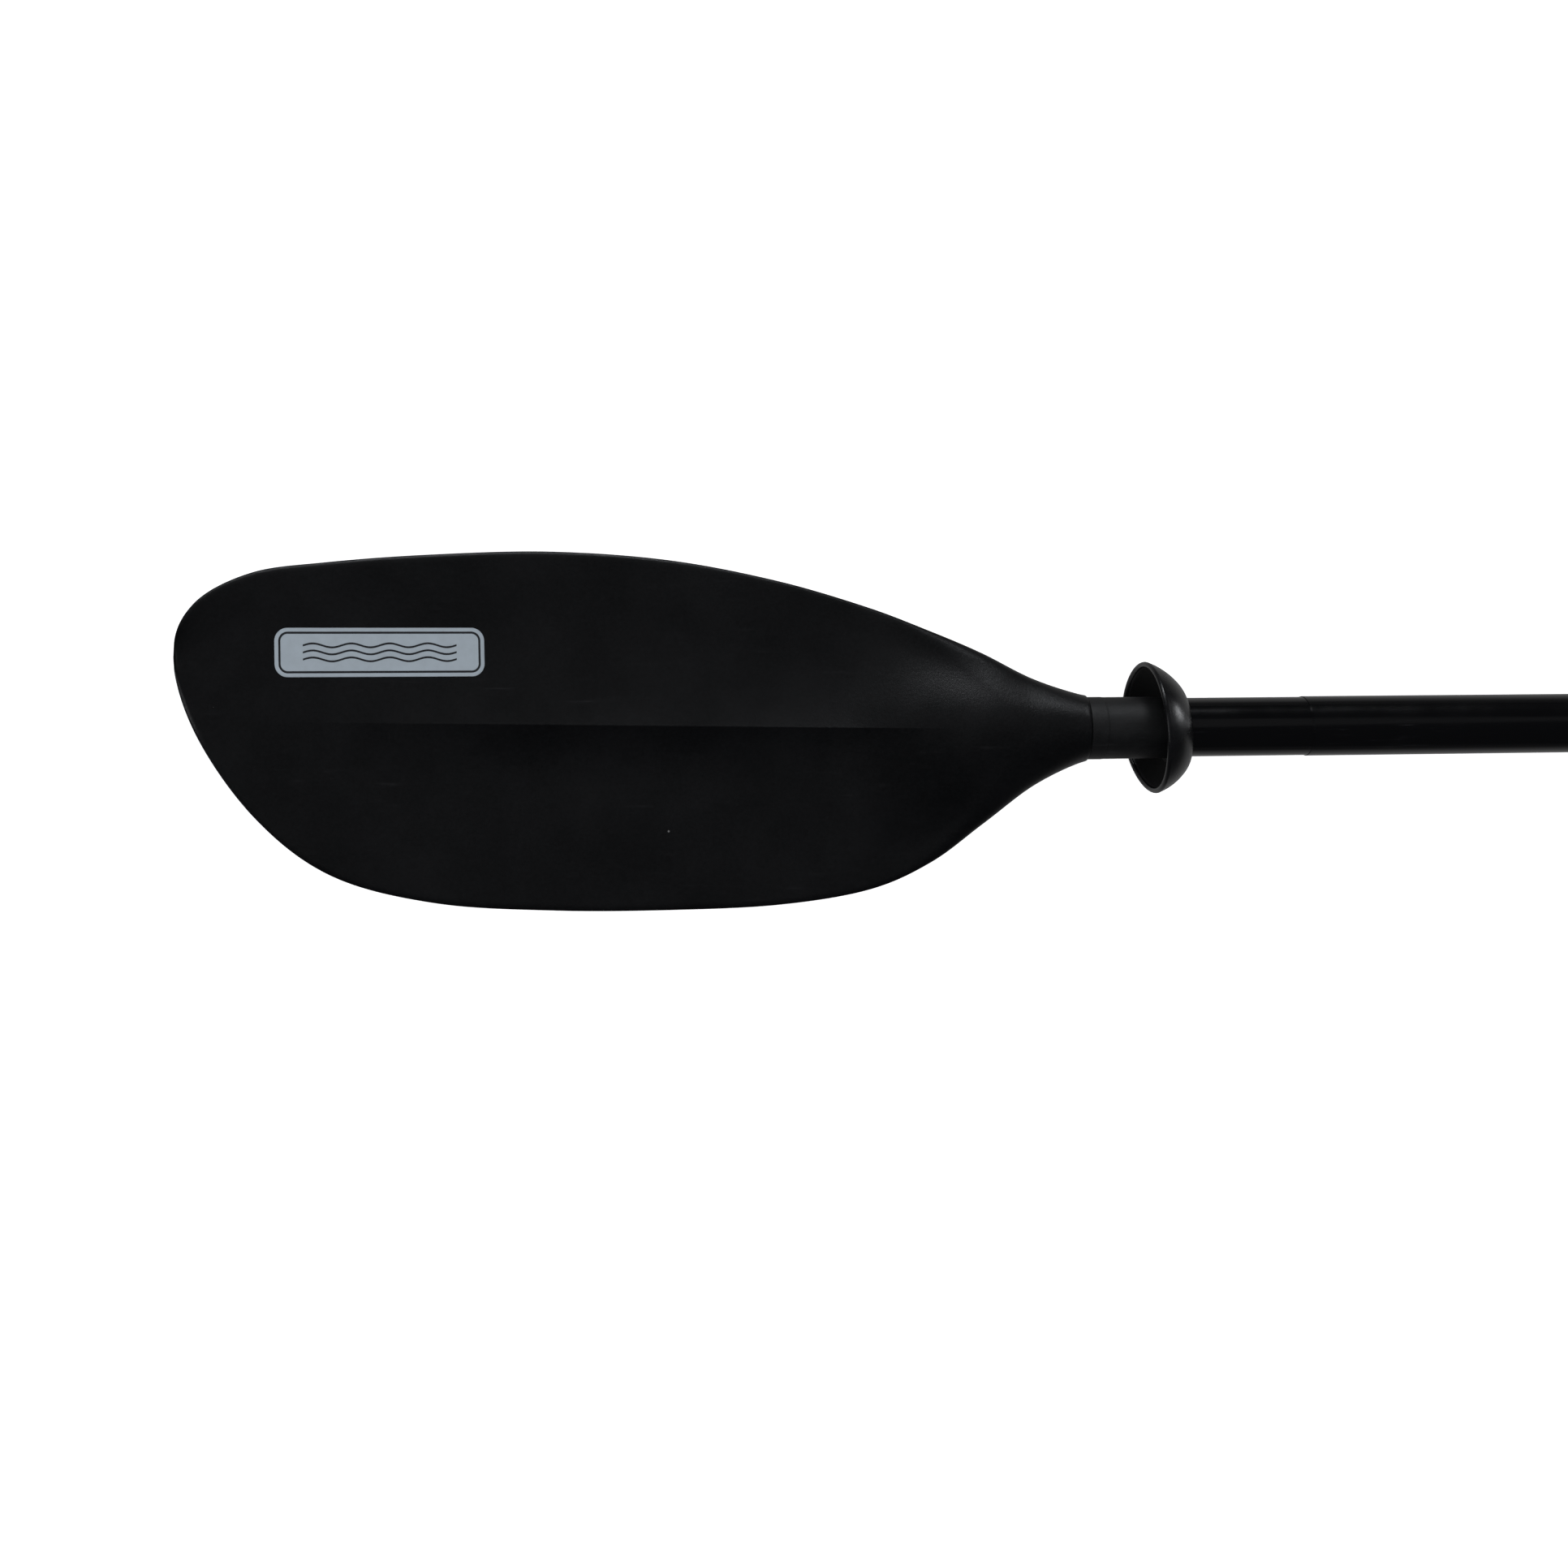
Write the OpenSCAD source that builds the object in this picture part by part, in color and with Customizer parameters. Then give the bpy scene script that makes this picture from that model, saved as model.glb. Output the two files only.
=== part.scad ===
// Single blade touring paddle: a spooned dihedral blade on a two-piece alloy shaft, with a T grip.
// X runs along the shaft from the blade to the grip, Y across the blade, Z out of the power face.
// The origin is on the shaft's centre line, at the place where a paddle clip holds the grip sleeve.

/* [Overall] */
// Length from the blade's tip to the top of the T grip
paddle_length = 1300; // [1150:5:1600]
// From the mouth of the blade's neck to the paddle clip's place
neck_to_clip = 245; // [200:1:330]
// From the mouth of the blade's neck to the plane where the two halves meet
neck_to_joint = 395; // [350:1:520]

/* [Blade] */
// Length from the neck's mouth to the tip
blade_length = 440; // [360:5:540]
// Width across the blade
blade_width = 168; // [130:1:210]
// Wall of the moulded neck around the shaft
neck_wall = 1.4; // [1:0.1:3]
// How deep the shaft goes into the neck
socket_depth = 50; // [40:1:65]
// Thickness of the blade at its rim
rim_thickness = 2.8; // [2:0.1:5]
// Thickness that the middle of the blade has over its rim
core_thickness = 2.4; // [1:0.1:5]
// Rise of the spoon's tip above the shaft's centre line
spoon_rise = 24; // [5:1:40]
// Height of the crease along the middle of the power face
ridge_height = 5.5; // [1:0.5:9]
// How far the long rims curl out of the power face
curl_height = 2.5; // [0:0.5:10]
// Distance of the tip from the shaft's centre line, towards the upper edge
tip_offset = 36.5; // [0:0.5:45]

/* [Shaft] */
// Outside diameter of the alloy tube
tube_od = 28.6; // [24:0.1:36]
// Wall of the alloy tube
tube_wall = 1.2; // [0.8:0.1:2]
// Length of the upper tube inside the T grip
grip_socket_depth = 48; // [30:1:70]
// Length of each foam plug that seals a tube
foam_length = 30; // [10:1:60]

/* [Sleeves] */
// Length of the matt collar beside the blade's neck
collar_length = 40.7; // [25:0.1:60]
// Wall of the matt collar
collar_wall = 0.65; // [0.4:0.05:1.2]
// From the neck's mouth to the grip sleeve
neck_to_sleeve = 111; // [95:1:140]
// Length of the grip sleeve
sleeve_length = 234; // [150:1:260]
// Wall of the grip sleeve
sleeve_wall = 0.3; // [0.2:0.05:1.5]

/* [Drip guard] */
// From the neck's mouth to the guard's open rim
neck_to_rim = 31.6; // [30:0.1:40]
// From the open rim to the guard's flat end
guard_depth = 16.8; // [14:0.1:18]
// Radius of the dome's outside
dome_r = 33.7; // [28:0.1:45]
// From the dome's centre to the plane of the rim
dome_to_rim = 10.8; // [4:0.1:16]
// Wall of the rubber
guard_wall = 2.5; // [1.5:0.1:4]
// Radius of the bead along the rim
bead_r = 1.3; // [1:0.1:3]
// Wall of the hub that grips the tube
hub_wall = 3; // [2:0.1:5]
// Length of the hub inside the cup
hub_length = 6.6; // [4:0.1:10]

/* [Take apart joint] */
// Length of the insert inside the lower tube
insert_in_lower = 70; // [50:1:90]
// Length of the insert inside the upper tube
insert_in_upper = 60; // [45:1:80]
// Wall of the insert
insert_wall = 2.55; // [2:0.05:4]
// Thickness of the insert's flange between the tubes
flange_length = 3; // [2:0.1:6]
// Length of the moulded collar on the upper tube
joint_collar_length = 50; // [42:1:70]
// Wall of the moulded collar
joint_collar_wall = 1.9; // [1.2:0.1:4]
// From the flange to the middle of the snap button
flange_to_button = 27; // [20:1:32]
// Diameter of the snap button
button_d = 8; // [6:0.1:10]
// How far the button stands out of the collar
button_proud = 1.8; // [1:0.1:3]
// Thickness of the button's spring strip
strip_t = 0.8; // [0.5:0.1:1.2]
// Width of the button's spring strip
strip_w = 9; // [8:0.5:10.5]

/* [T grip] */
// Width across the T grip
grip_width = 108; // [90:1:130]
// Radius of the grip's bar
bar_r = 13; // [10:0.5:16]
// Wall of the grip's stem around the tube
stem_wall = 2.6; // [2:0.1:4]

/* [Fixings] */
// Diameter of a rivet's shank
rivet_d = 4.8; // [3:0.1:5]
// Diameter of a rivet's head
rivet_head_d = 9; // [7:0.5:11]
// Height of a rivet's head
rivet_head_h = 1.5; // [1:0.1:2]

/* [Hidden] */
$fn = 64;

// clearances
bond_gap = 0.05;
running_gap = 0.06;
hole_gap = 0.1;
face_gap = 0.3;
past = 1;

// radii
tube_r = tube_od / 2;
bore_r = tube_r - tube_wall;
neck_r = tube_r + bond_gap + neck_wall;
insert_r = bore_r - bond_gap;
insert_bore_r = insert_r - insert_wall;
sleeve_r = tube_r + sleeve_wall;
joint_collar_r = tube_r + joint_collar_wall;
stem_r = tube_r + bond_gap + stem_wall;
button_hole_d = button_d + 4 * hole_gap;
rivet_hole_d = rivet_d + hole_gap;

// places along the shaft
neck_x = -neck_to_clip;
tip_x = neck_x - blade_length;
socket_end_x = neck_x - socket_depth;
joint_x = neck_x + neck_to_joint;
upper_start_x = joint_x + flange_length + face_gap;
grip_top_x = tip_x + paddle_length;
bar_x = grip_top_x - bar_r;
upper_end_x = bar_x - bar_r;
stem_start_x = upper_end_x - grip_socket_depth;
button_x = joint_x + flange_length + flange_to_button;
blade_rivet_x = neck_x - socket_depth / 2;
ferrule_rivet_x = joint_x - insert_in_lower / 3;
grip_rivet_x = stem_start_x + grip_socket_depth / 2;

// A tube or rod along X, from x0 to x1.
module rod(x0, x1, r) {
    translate([x0, 0, 0]) rotate([0, 90, 0]) cylinder(h = x1 - x0, r = r);
}

module pipe(x0, x1, r_out, r_in) {
    difference() {
        rod(x0, x1, r_out);
        rod(x0 - past, x1 + past, r_in);
    }
}

// A profile of [x, r] points turned about the shaft's centre line.
module turned() {
    rotate([0, 90, 0]) rotate_extrude($fn = 96) rotate(90) mirror([0, 1]) children();
}

// A round hole across the shaft, from its centre line out in the direction that turn gives about X.
module cross_hole(x, d, turn) {
    translate([x, 0, 0]) rotate([turn, 0, 0]) cylinder(h = 2 * stem_r, d = d);
}

// How far a head stands off the round wall under it, and how far the shank stands in.
head_lift = 0.2;
rivet_tail = 1.5;

// A blind rivet with a domed head that sits on a wall of radius seat_r.
module rivet(x, turn, seat_r, inner_r) {
    dome_ball_r = (pow(rivet_head_d / 2, 2) + pow(rivet_head_h, 2)) / (2 * rivet_head_h);
    translate([x, 0, 0]) rotate([turn, 0, 0]) {
        translate([0, 0, inner_r]) cylinder(h = seat_r - inner_r, d = rivet_d);
        translate([0, 0, seat_r]) intersection() {
            cylinder(h = rivet_head_h, d = rivet_head_d);
            translate([0, 0, rivet_head_h - dome_ball_r]) sphere(r = dome_ball_r);
        }
    }
}

// ---- blade ----

// The blade's outline: along the blade, then the upper and the lower edge's reach beyond the neck,
// all in percent. The first and the last row only steer the curve's ends.
OUTLINE = [
    [-6, -6, -6],
    [0, 0, 0],
    [6, 12, 16.5],
    [12, 31, 43.5],
    [18, 47, 70],
    [25, 63.5, 88],
    [35, 81.5, 97],
    [47, 95.5, 99],
    [60, 101, 97.5],
    [73, 98.5, 90.5],
    [84, 93, 70.5],
    [92, 85.5, 30.5],
    [98, 64.5, -26],
    [100, 30.5, -76.5],
    [97, -25, -106]
];
spans = len(OUTLINE) - 3;
rows_per_span = 3;
rows = spans * rows_per_span;
cols = 30;
upper_reach = blade_width / 2 - neck_r;
rim_half = rim_thickness / 2;
core_half = core_thickness / 2;

// places along the blade, from the neck's mouth
shoulder_length = 100;
front_hump_end = 150;
back_hump_end = 230;
spoon_start = 110;
crease_start = 60;
ridge_start = [70, 125];
curl_start = [60, 190];
core_start = [40, 120];
// shares of the blade's length over which the ridge and the core fade out towards the tip
ridge_fade = [0.55, 0.92];
core_fade = [0.9, 1];
// shares of the way from the crease to the edge
ridge_above = 0.6;
ridge_below = 0.4;
hump_share = 0.85;
back_hump_half = 21;
spoon_power = 1.8;
curl_power = 2.4;
crease_drift = 0.018;
crease_low_share = 0.22;
crease_blend = 0.05;
edge_roll = 2.2;
tiny = 0.001;

// A Catmull-Rom curve through the outline's rows; t counts rows.
function catmull(a, b, c, d, u) =
    0.5 * (2 * b + (c - a) * u + (2 * a - 5 * b + 4 * c - d) * u * u + (3 * b - a - 3 * c + d) * u * u * u);
function outline(t) =
    let (k = min(floor(t), spans - 1))
    catmull(OUTLINE[k], OUTLINE[k + 1], OUTLINE[k + 2], OUTLINE[k + 3], t - k);

// A step from 0 to 1 over a range, with level ends, and a bump from 1 at 0 to 0 at half.
function smooth(range, x) =
    let (t = max(0, min(1, (x - range[0]) / (range[1] - range[0]))))
    t * t * (3 - 2 * t);
function bell(x, half) = pow(max(0, 1 - pow(x / half, 2)), 2);

// Half the thickness at a rolled edge: the neck's radius at the mouth, half the rim's past the shoulder.
function edge_half(s) = rim_half + (neck_r - rim_half) * (1 - smooth([0, shoulder_length], s));
// An ellipse's rise over the first r of the distance d from the edge.
function roll(d, r) = sqrt(max(0, 1 - pow(1 - min(d / r, 1), 2)));
// The rest of the socket's round wall, over the rolled edges, as it runs out into the blade.
function hump(s, end) = max(0, neck_r * (1 - smooth([socket_depth, end], s)) - edge_half(s));
function spoon(s) = spoon_rise * pow(max(0, (s - spoon_start) / (blade_length - spoon_start)), spoon_power);

// Where the crease stands between the lower edge (0) and the upper (1), held off the lower edge at the tip.
function crease_share(s, low, high) =
    let (
        share = (crease_drift * max(0, s - crease_start) - low) / max(high - low, tiny),
        over = share - crease_low_share
    )
    (share + crease_low_share + sqrt(over * over + crease_blend * crease_blend)) / 2;

// Ridge, curl and core at a share w of the way from the crease to the edge; the ridge is steeper below.
function ridge(s, w, above) =
    ridge_height * smooth(ridge_start, s) * (1 - smooth(ridge_fade, s / blade_length))
    * (above ? pow(max(0, 1 - w / ridge_above), 2) : pow(max(0, 1 - w / ridge_below), 3));
function curl(s, w) = curl_height * smooth(curl_start, s) * pow(w, curl_power);
function core(s, w) =
    core_half * smooth(core_start, s) * (1 - w * w) * (1 - smooth(core_fade, s / blade_length));

// One point of the blade's skin: v runs from the lower edge (-1) over the crease (0) to the upper edge (1),
// and side is 1 on the power face, -1 behind.
function skin(t, v, side) =
    let (
        o = outline(t),
        s = blade_length * o[0] / 100,
        high = neck_r + upper_reach * o[1] / 100,
        low = -neck_r - upper_reach * o[2] / 100,
        yc = low + crease_share(s, low, high) * (high - low),
        w = abs(v),
        reach = max(v > 0 ? high - yc : yc - low, tiny),
        from_side = (1 - w) * reach,
        from_tip = max(blade_length - s, tiny),
        from_edge = from_side * from_tip / norm([from_side, from_tip]),
        e = edge_half(s),
        rise = e * roll(from_edge, min(edge_roll * e, reach)),
        middle = spoon(s) + ridge(s, w, v > 0) + curl(s, w),
        hump_z = side > 0
            ? hump(s, front_hump_end) * bell(w, hump_share)
            : hump(s, back_hump_end) * bell(v * reach, back_hump_half)
    )
    [neck_x - s, yc + v * reach, middle + side * (rise + core(s, w) + hump_z)];

// Shares across the skin, close together at both edges and at the crease.
half_cols = cols / 2;
across = [
    for (k = [-half_cols:half_cols]) (k < 0 ? -1 : 1) * (1 - cos(180 * abs(k) / half_cols)) / 2
];

// Closed rings of points from the neck's mouth to just before the tip, then the tip itself.
ring = 2 * cols;
skin_points = [
    for (i = [0:rows - 1])
        let (t = i / rows_per_span)
        each [
            for (k = [0:cols]) skin(t, across[k], 1),
            for (k = [cols - 1:-1:1]) skin(t, across[k], -1)
        ],
    [tip_x, tip_offset, spoon(blade_length) + curl_height],
    [neck_x, 0, 0]
];
tip_point = rows * ring;
mouth_point = tip_point + 1;
skin_faces = [
    for (i = [0:rows - 2], k = [0:ring - 1])
        let (a = i * ring + k, b = i * ring + (k + 1) % ring)
        each [[a, a + ring, b + ring], [a, b + ring, b]],
    for (k = [0:ring - 1]) [(rows - 1) * ring + k, tip_point, (rows - 1) * ring + (k + 1) % ring],
    for (k = [0:ring - 1]) [k, (k + 1) % ring, mouth_point]
];

module blade() {
    color("#17181a") difference() {
        polyhedron(skin_points, skin_faces, convexity = 8);
        rod(socket_end_x, neck_x + past, tube_r + bond_gap);
        cross_hole(blade_rivet_x, rivet_hole_d, 180);
    }
}

module blade_rivet() {
    color("#9a9ca0") rivet(blade_rivet_x, 180, neck_r + head_lift, bore_r - rivet_tail);
}

// ---- lower half of the shaft ----

module neck_collar() {
    color("#26272a") pipe(neck_x + face_gap, neck_x + face_gap + collar_length, tube_r + collar_wall, tube_r);
}

module lower_shaft() {
    color("#0c0d10") difference() {
        pipe(socket_end_x, joint_x, tube_r, bore_r);
        cross_hole(blade_rivet_x, rivet_hole_d, 180);
        for (turn = [90, -90]) cross_hole(ferrule_rivet_x, rivet_hole_d, turn);
    }
}

module lower_foam_plug() {
    color("#3b3d40") rod(neck_x - foam_length / 3, neck_x + foam_length * 2 / 3, bore_r);
}

module grip_sleeve() {
    color("#0a0b0e") pipe(neck_x + neck_to_sleeve, neck_x + neck_to_sleeve + sleeve_length, sleeve_r, tube_r);
}

// ---- drip guard ----

rim_x = neck_x + neck_to_rim;
dome_x = rim_x - dome_to_rim;
rim_r = sqrt(pow(dome_r, 2) - pow(dome_to_rim, 2));
guard_bore_r = tube_r + running_gap;
hub_r = guard_bore_r + hub_wall;
dome_end_x = rim_x + guard_depth;
hub_start_x = dome_end_x - hub_length;

// A circle about the dome's centre, cut flat at end_x.
module flat_ball(r, end_x) {
    intersection() {
        translate([dome_x, 0]) circle(r = r, $fn = 128);
        translate([dome_x - dome_r, -dome_r]) square([end_x - dome_x + dome_r, 2 * dome_r]);
    }
}

module drip_guard() {
    color("#1b1c1f") turned() difference() {
        union() {
            difference() {
                flat_ball(dome_r, dome_end_x);
                flat_ball(dome_r - guard_wall, dome_end_x - guard_wall);
                translate([rim_x - 2 * dome_r, -dome_r - past]) square([2 * dome_r, 2 * (dome_r + past)]);
            }
            translate([rim_x, rim_r - bead_r]) circle(r = bead_r);
            translate([hub_start_x, 0]) square([hub_length - guard_wall / 2, hub_r]);
        }
        translate([rim_x - past - bead_r, -dome_r - past]) square([3 * dome_r, dome_r + past + guard_bore_r]);
    }
}

// ---- take-apart joint ----

seal_cord_r = 0.75;
seal_proud = 0.02;
seal_groove_r = insert_r - 2 * seal_cord_r + seal_proud;
seal_x = upper_start_x + 6;
insert_start_x = joint_x - insert_in_lower;
insert_end_x = joint_x + flange_length + insert_in_upper;
lead_in = 1.5;

module ferrule_insert() {
    color("#2c2e31") difference() {
        union() {
            rod(insert_start_x, insert_end_x, insert_r);
            rod(joint_x, joint_x + flange_length, tube_r);
        }
        rod(insert_start_x - past, insert_end_x + past, insert_bore_r);
        pipe(seal_x - seal_cord_r, seal_x + seal_cord_r, insert_r + past, seal_groove_r);
        cross_hole(button_x, button_hole_d, 0);
        for (turn = [90, -90]) cross_hole(ferrule_rivet_x, rivet_hole_d, turn);
    }
}

module ferrule_rivets() {
    color("#9a9ca0") for (turn = [90, -90]) {
        rivet(ferrule_rivet_x, turn, tube_r + head_lift, insert_bore_r - rivet_tail);
    }
}

module ferrule_seal() {
    color("#2a1f1b") turned() translate([seal_x, seal_groove_r + seal_cord_r]) circle(r = seal_cord_r, $fn = 48);
}

cap_length = 2.5;
cap_spigot = 5;
cap_r = insert_r - hole_gap;

module insert_cap() {
    color("#1f2023") turned() polygon([
        [insert_end_x - cap_spigot, 0],
        [insert_end_x - cap_spigot, insert_bore_r - bond_gap],
        [insert_end_x, insert_bore_r - bond_gap],
        [insert_end_x, cap_r],
        [insert_end_x + cap_length - lead_in, cap_r],
        [insert_end_x + cap_length, cap_r - lead_in],
        [insert_end_x + cap_length, 0]
    ]);
}

// The spring strip is a hairpin that lies against the insert's bore above and below.
strip_gap = 0.25;
strip_top_z = sqrt(pow(insert_bore_r, 2) - pow(strip_w / 2, 2)) - strip_gap;
strip_end_x = button_x + button_d / 2 + 2;
hairpin_r = strip_top_z * 0.6;
hairpin_x = button_x - 34;
hairpin_slope_length = 18;
button_top_z = joint_collar_r + button_proud;
button_dome_h = 1.6;
button_ball_r = (pow(button_d / 2, 2) + pow(button_dome_h, 2)) / (2 * button_dome_h);

// Half of the hairpin's side view, from the bend's tip to the strip's flat end.
module half_strip(end_x) {
    difference() {
        union() {
            translate([hairpin_x, 0]) circle(r = hairpin_r);
            polygon([
                [hairpin_x, hairpin_r],
                [hairpin_x + hairpin_slope_length, strip_top_z],
                [end_x, strip_top_z],
                [end_x, 0],
                [hairpin_x, 0]
            ]);
        }
        translate([hairpin_x, 0]) circle(r = hairpin_r - strip_t);
        polygon([
            [hairpin_x, hairpin_r - strip_t],
            [hairpin_x + hairpin_slope_length, strip_top_z - strip_t],
            [end_x + past, strip_top_z - strip_t],
            [end_x + past, -past],
            [hairpin_x, -past]
        ]);
        translate([hairpin_x - 2 * hairpin_r, -2 * hairpin_r])
            square([strip_end_x - hairpin_x + 4 * hairpin_r, 2 * hairpin_r]);
    }
}

module snap_button() {
    color("#b9bbbe") {
        translate([0, strip_w / 2, 0]) rotate([90, 0, 0]) linear_extrude(strip_w) {
            half_strip(strip_end_x);
            mirror([0, 1]) half_strip(strip_end_x);
        }
        translate([button_x, 0, 0]) {
            translate([0, 0, strip_top_z - strip_t / 2])
                cylinder(h = button_top_z - button_dome_h - strip_top_z + strip_t / 2, d = button_d);
            translate([0, 0, button_top_z - button_ball_r]) intersection() {
                sphere(r = button_ball_r);
                translate([0, 0, button_ball_r - button_dome_h]) cylinder(h = button_dome_h, d = button_d);
            }
        }
    }
}

collar_taper = 6;
collar_edge = 0.5;

module joint_collar() {
    color("#1d1e21") difference() {
        turned() polygon([
            [upper_start_x, tube_r],
            [upper_start_x, joint_collar_r - collar_edge],
            [upper_start_x + collar_edge, joint_collar_r],
            [upper_start_x + joint_collar_length - collar_taper, joint_collar_r],
            [upper_start_x + joint_collar_length, tube_r + collar_edge],
            [upper_start_x + joint_collar_length, tube_r]
        ]);
        cross_hole(button_x, button_hole_d, 0);
    }
}

// ---- upper half of the shaft ----

module upper_shaft() {
    color("#0c0d10") difference() {
        pipe(upper_start_x, upper_end_x, tube_r, bore_r);
        cross_hole(button_x, button_hole_d, 0);
        cross_hole(grip_rivet_x, rivet_hole_d, 180);
    }
}

module upper_foam_plug() {
    color("#3b3d40") rod(stem_start_x - foam_length, stem_start_x, bore_r);
}

stem_neck_r = stem_r * 0.94;
bar_end_r = bar_r * 0.8;

module t_grip() {
    color("#1a1b1e") difference() {
        union() {
            rod(stem_start_x, upper_end_x, stem_r);
            hull() {
                rod(upper_end_x - bar_r, upper_end_x - bar_r + 1, stem_neck_r);
                for (side = [-1, 1])
                    translate([bar_x, side * grip_width / 8, 0]) sphere(r = bar_r, $fn = 32);
            }
            hull() for (side = [-1, 1]) {
                translate([bar_x, side * grip_width / 8, 0]) sphere(r = bar_r, $fn = 32);
                translate([bar_x - bar_r / 4, side * (grip_width / 2 - bar_end_r), 0])
                    sphere(r = bar_end_r, $fn = 32);
            }
        }
        rod(stem_start_x - past, upper_end_x, tube_r + bond_gap);
        cross_hole(grip_rivet_x, rivet_hole_d, 180);
    }
}

module t_grip_rivet() {
    color("#9a9ca0") rivet(grip_rivet_x, 180, stem_r + head_lift, bore_r - rivet_tail);
}

blade();
blade_rivet();
neck_collar();
lower_shaft();
lower_foam_plug();
grip_sleeve();
drip_guard();
ferrule_insert();
ferrule_rivets();
ferrule_seal();
insert_cap();
snap_button();
joint_collar();
upper_shaft();
upper_foam_plug();
t_grip();
t_grip_rivet();
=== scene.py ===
"""A single blade paddle: moulded blade, drip guard, two-piece alloy shaft and T grip, on a pale table."""

import math

import bpy
import numpy as np
from mathutils import Matrix, Vector


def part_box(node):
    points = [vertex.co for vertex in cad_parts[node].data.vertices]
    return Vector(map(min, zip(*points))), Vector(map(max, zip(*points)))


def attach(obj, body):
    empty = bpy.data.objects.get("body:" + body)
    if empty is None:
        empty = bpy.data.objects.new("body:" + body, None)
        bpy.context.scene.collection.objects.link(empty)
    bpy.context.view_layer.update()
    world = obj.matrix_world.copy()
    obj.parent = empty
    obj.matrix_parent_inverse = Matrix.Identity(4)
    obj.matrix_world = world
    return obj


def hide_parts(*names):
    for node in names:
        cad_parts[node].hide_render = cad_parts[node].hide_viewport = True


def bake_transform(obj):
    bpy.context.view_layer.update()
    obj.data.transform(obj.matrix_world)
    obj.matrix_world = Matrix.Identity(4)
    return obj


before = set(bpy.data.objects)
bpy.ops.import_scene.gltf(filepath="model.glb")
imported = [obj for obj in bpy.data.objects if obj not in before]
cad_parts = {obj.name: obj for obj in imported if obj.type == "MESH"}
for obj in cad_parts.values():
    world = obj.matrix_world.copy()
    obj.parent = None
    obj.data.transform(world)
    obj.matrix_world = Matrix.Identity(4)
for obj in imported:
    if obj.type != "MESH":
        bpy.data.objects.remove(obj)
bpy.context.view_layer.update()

# ---------------------------------------------------------------------------------------------
# The room: a white table under the paddle, a low softbox beyond the blade's upper edge, even light from
# above, and the camera almost straight above the blade's tip, turned towards it.

neck_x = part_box("blade")[1].x
tip_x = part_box("blade")[0].x
guard_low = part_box("drip_guard")[0]
grip_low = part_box("t_grip_rivet")[0]

camera_from_neck = Vector((-0.6258, -0.0249, 1.8632))
camera_yaw = math.radians(14.3)
camera_roll = math.radians(0.8)

scene = bpy.context.scene
scene.view_settings.view_transform = "Standard"
scene.view_settings.look = "None"

camera_data = bpy.data.cameras.new("camera")
camera_data.sensor_width = 36.0
camera_data.lens = 93.17
camera_data.clip_end = 50.0
camera = bpy.data.objects.new("camera", camera_data)
turn = Matrix.Rotation(-camera_yaw, 4, "Y") @ Matrix.Rotation(-camera_roll, 4, "Z")
camera.matrix_world = Matrix.Translation(Vector((neck_x, 0, 0)) + camera_from_neck) @ turn
bpy.context.collection.objects.link(camera)
scene.camera = camera

table_half, table_points = 6.0, 25
table_gap = 0.0004


def new_material(name):
    """An empty node material; returns it with its node tree and its Principled shader."""
    made = bpy.data.materials.new(name)
    made.use_nodes = True
    return made, made.node_tree, made.node_tree.nodes["Principled BSDF"]


def fill(tree, node, **inputs):
    """Gives a node's inputs, written in lower case, plain values or other nodes' outputs; returns the node."""
    for label, value in inputs.items():
        socket = node.inputs[label.replace("_", " ").title()]
        if isinstance(value, bpy.types.NodeSocket):
            tree.links.new(value, socket)
        else:
            socket.default_value = value
    return node


def new_node(tree, kind, **inputs):
    """Adds a node of a kind with its inputs filled."""
    return fill(tree, tree.nodes.new("ShaderNode" + kind), **inputs)


def math_node(tree, operation, first, second=None):
    """A Math node whose inputs are other nodes' outputs or plain numbers; returns its output."""
    node = new_node(tree, "Math")
    node.operation = operation
    for value, socket in zip((first, second), node.inputs):
        if isinstance(value, bpy.types.NodeSocket):
            tree.links.new(value, socket)
        elif value is not None:
            socket.default_value = value
    return node.outputs[0]


def ramp(tree, value, low, high, out_low=0.0, out_high=1.0):
    """Maps a value's range low to high onto another range, held at both ends."""
    return new_node(tree, "MapRange", value=value, from_min=low, from_max=high,
                    to_min=out_low, to_max=out_high).outputs["Result"]


def object_coordinates(tree):
    """The piece's own coordinates, which are metres in the paddle's frame."""
    return new_node(tree, "TexCoord").outputs["Object"]


def table_top():
    """A flat grid that passes just under the drip guard's rim and the rivet of the T grip."""
    steps = np.linspace(-table_half, table_half, table_points)
    across, along = np.meshgrid(steps, steps)
    slope = (grip_low.z - guard_low.z) / (grip_low.x - guard_low.x)
    height = guard_low.z - table_gap + slope * (along - guard_low.x)
    return np.stack([along, across, height], axis=-1)


def grid_faces(rows, cols, around):
    """Quads between neighbouring rows of a grid of points; around joins the last column to the first."""
    row = np.arange(rows - 1)[:, None]
    col = np.arange(cols if around else cols - 1)[None, :]
    after = (col + 1) % cols
    corners = [row * cols + col, row * cols + after, (row + 1) * cols + after, (row + 1) * cols + col]
    return np.stack([np.broadcast_to(c, (rows - 1, col.shape[1])) for c in corners], axis=-1).reshape(-1, 4)


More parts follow.
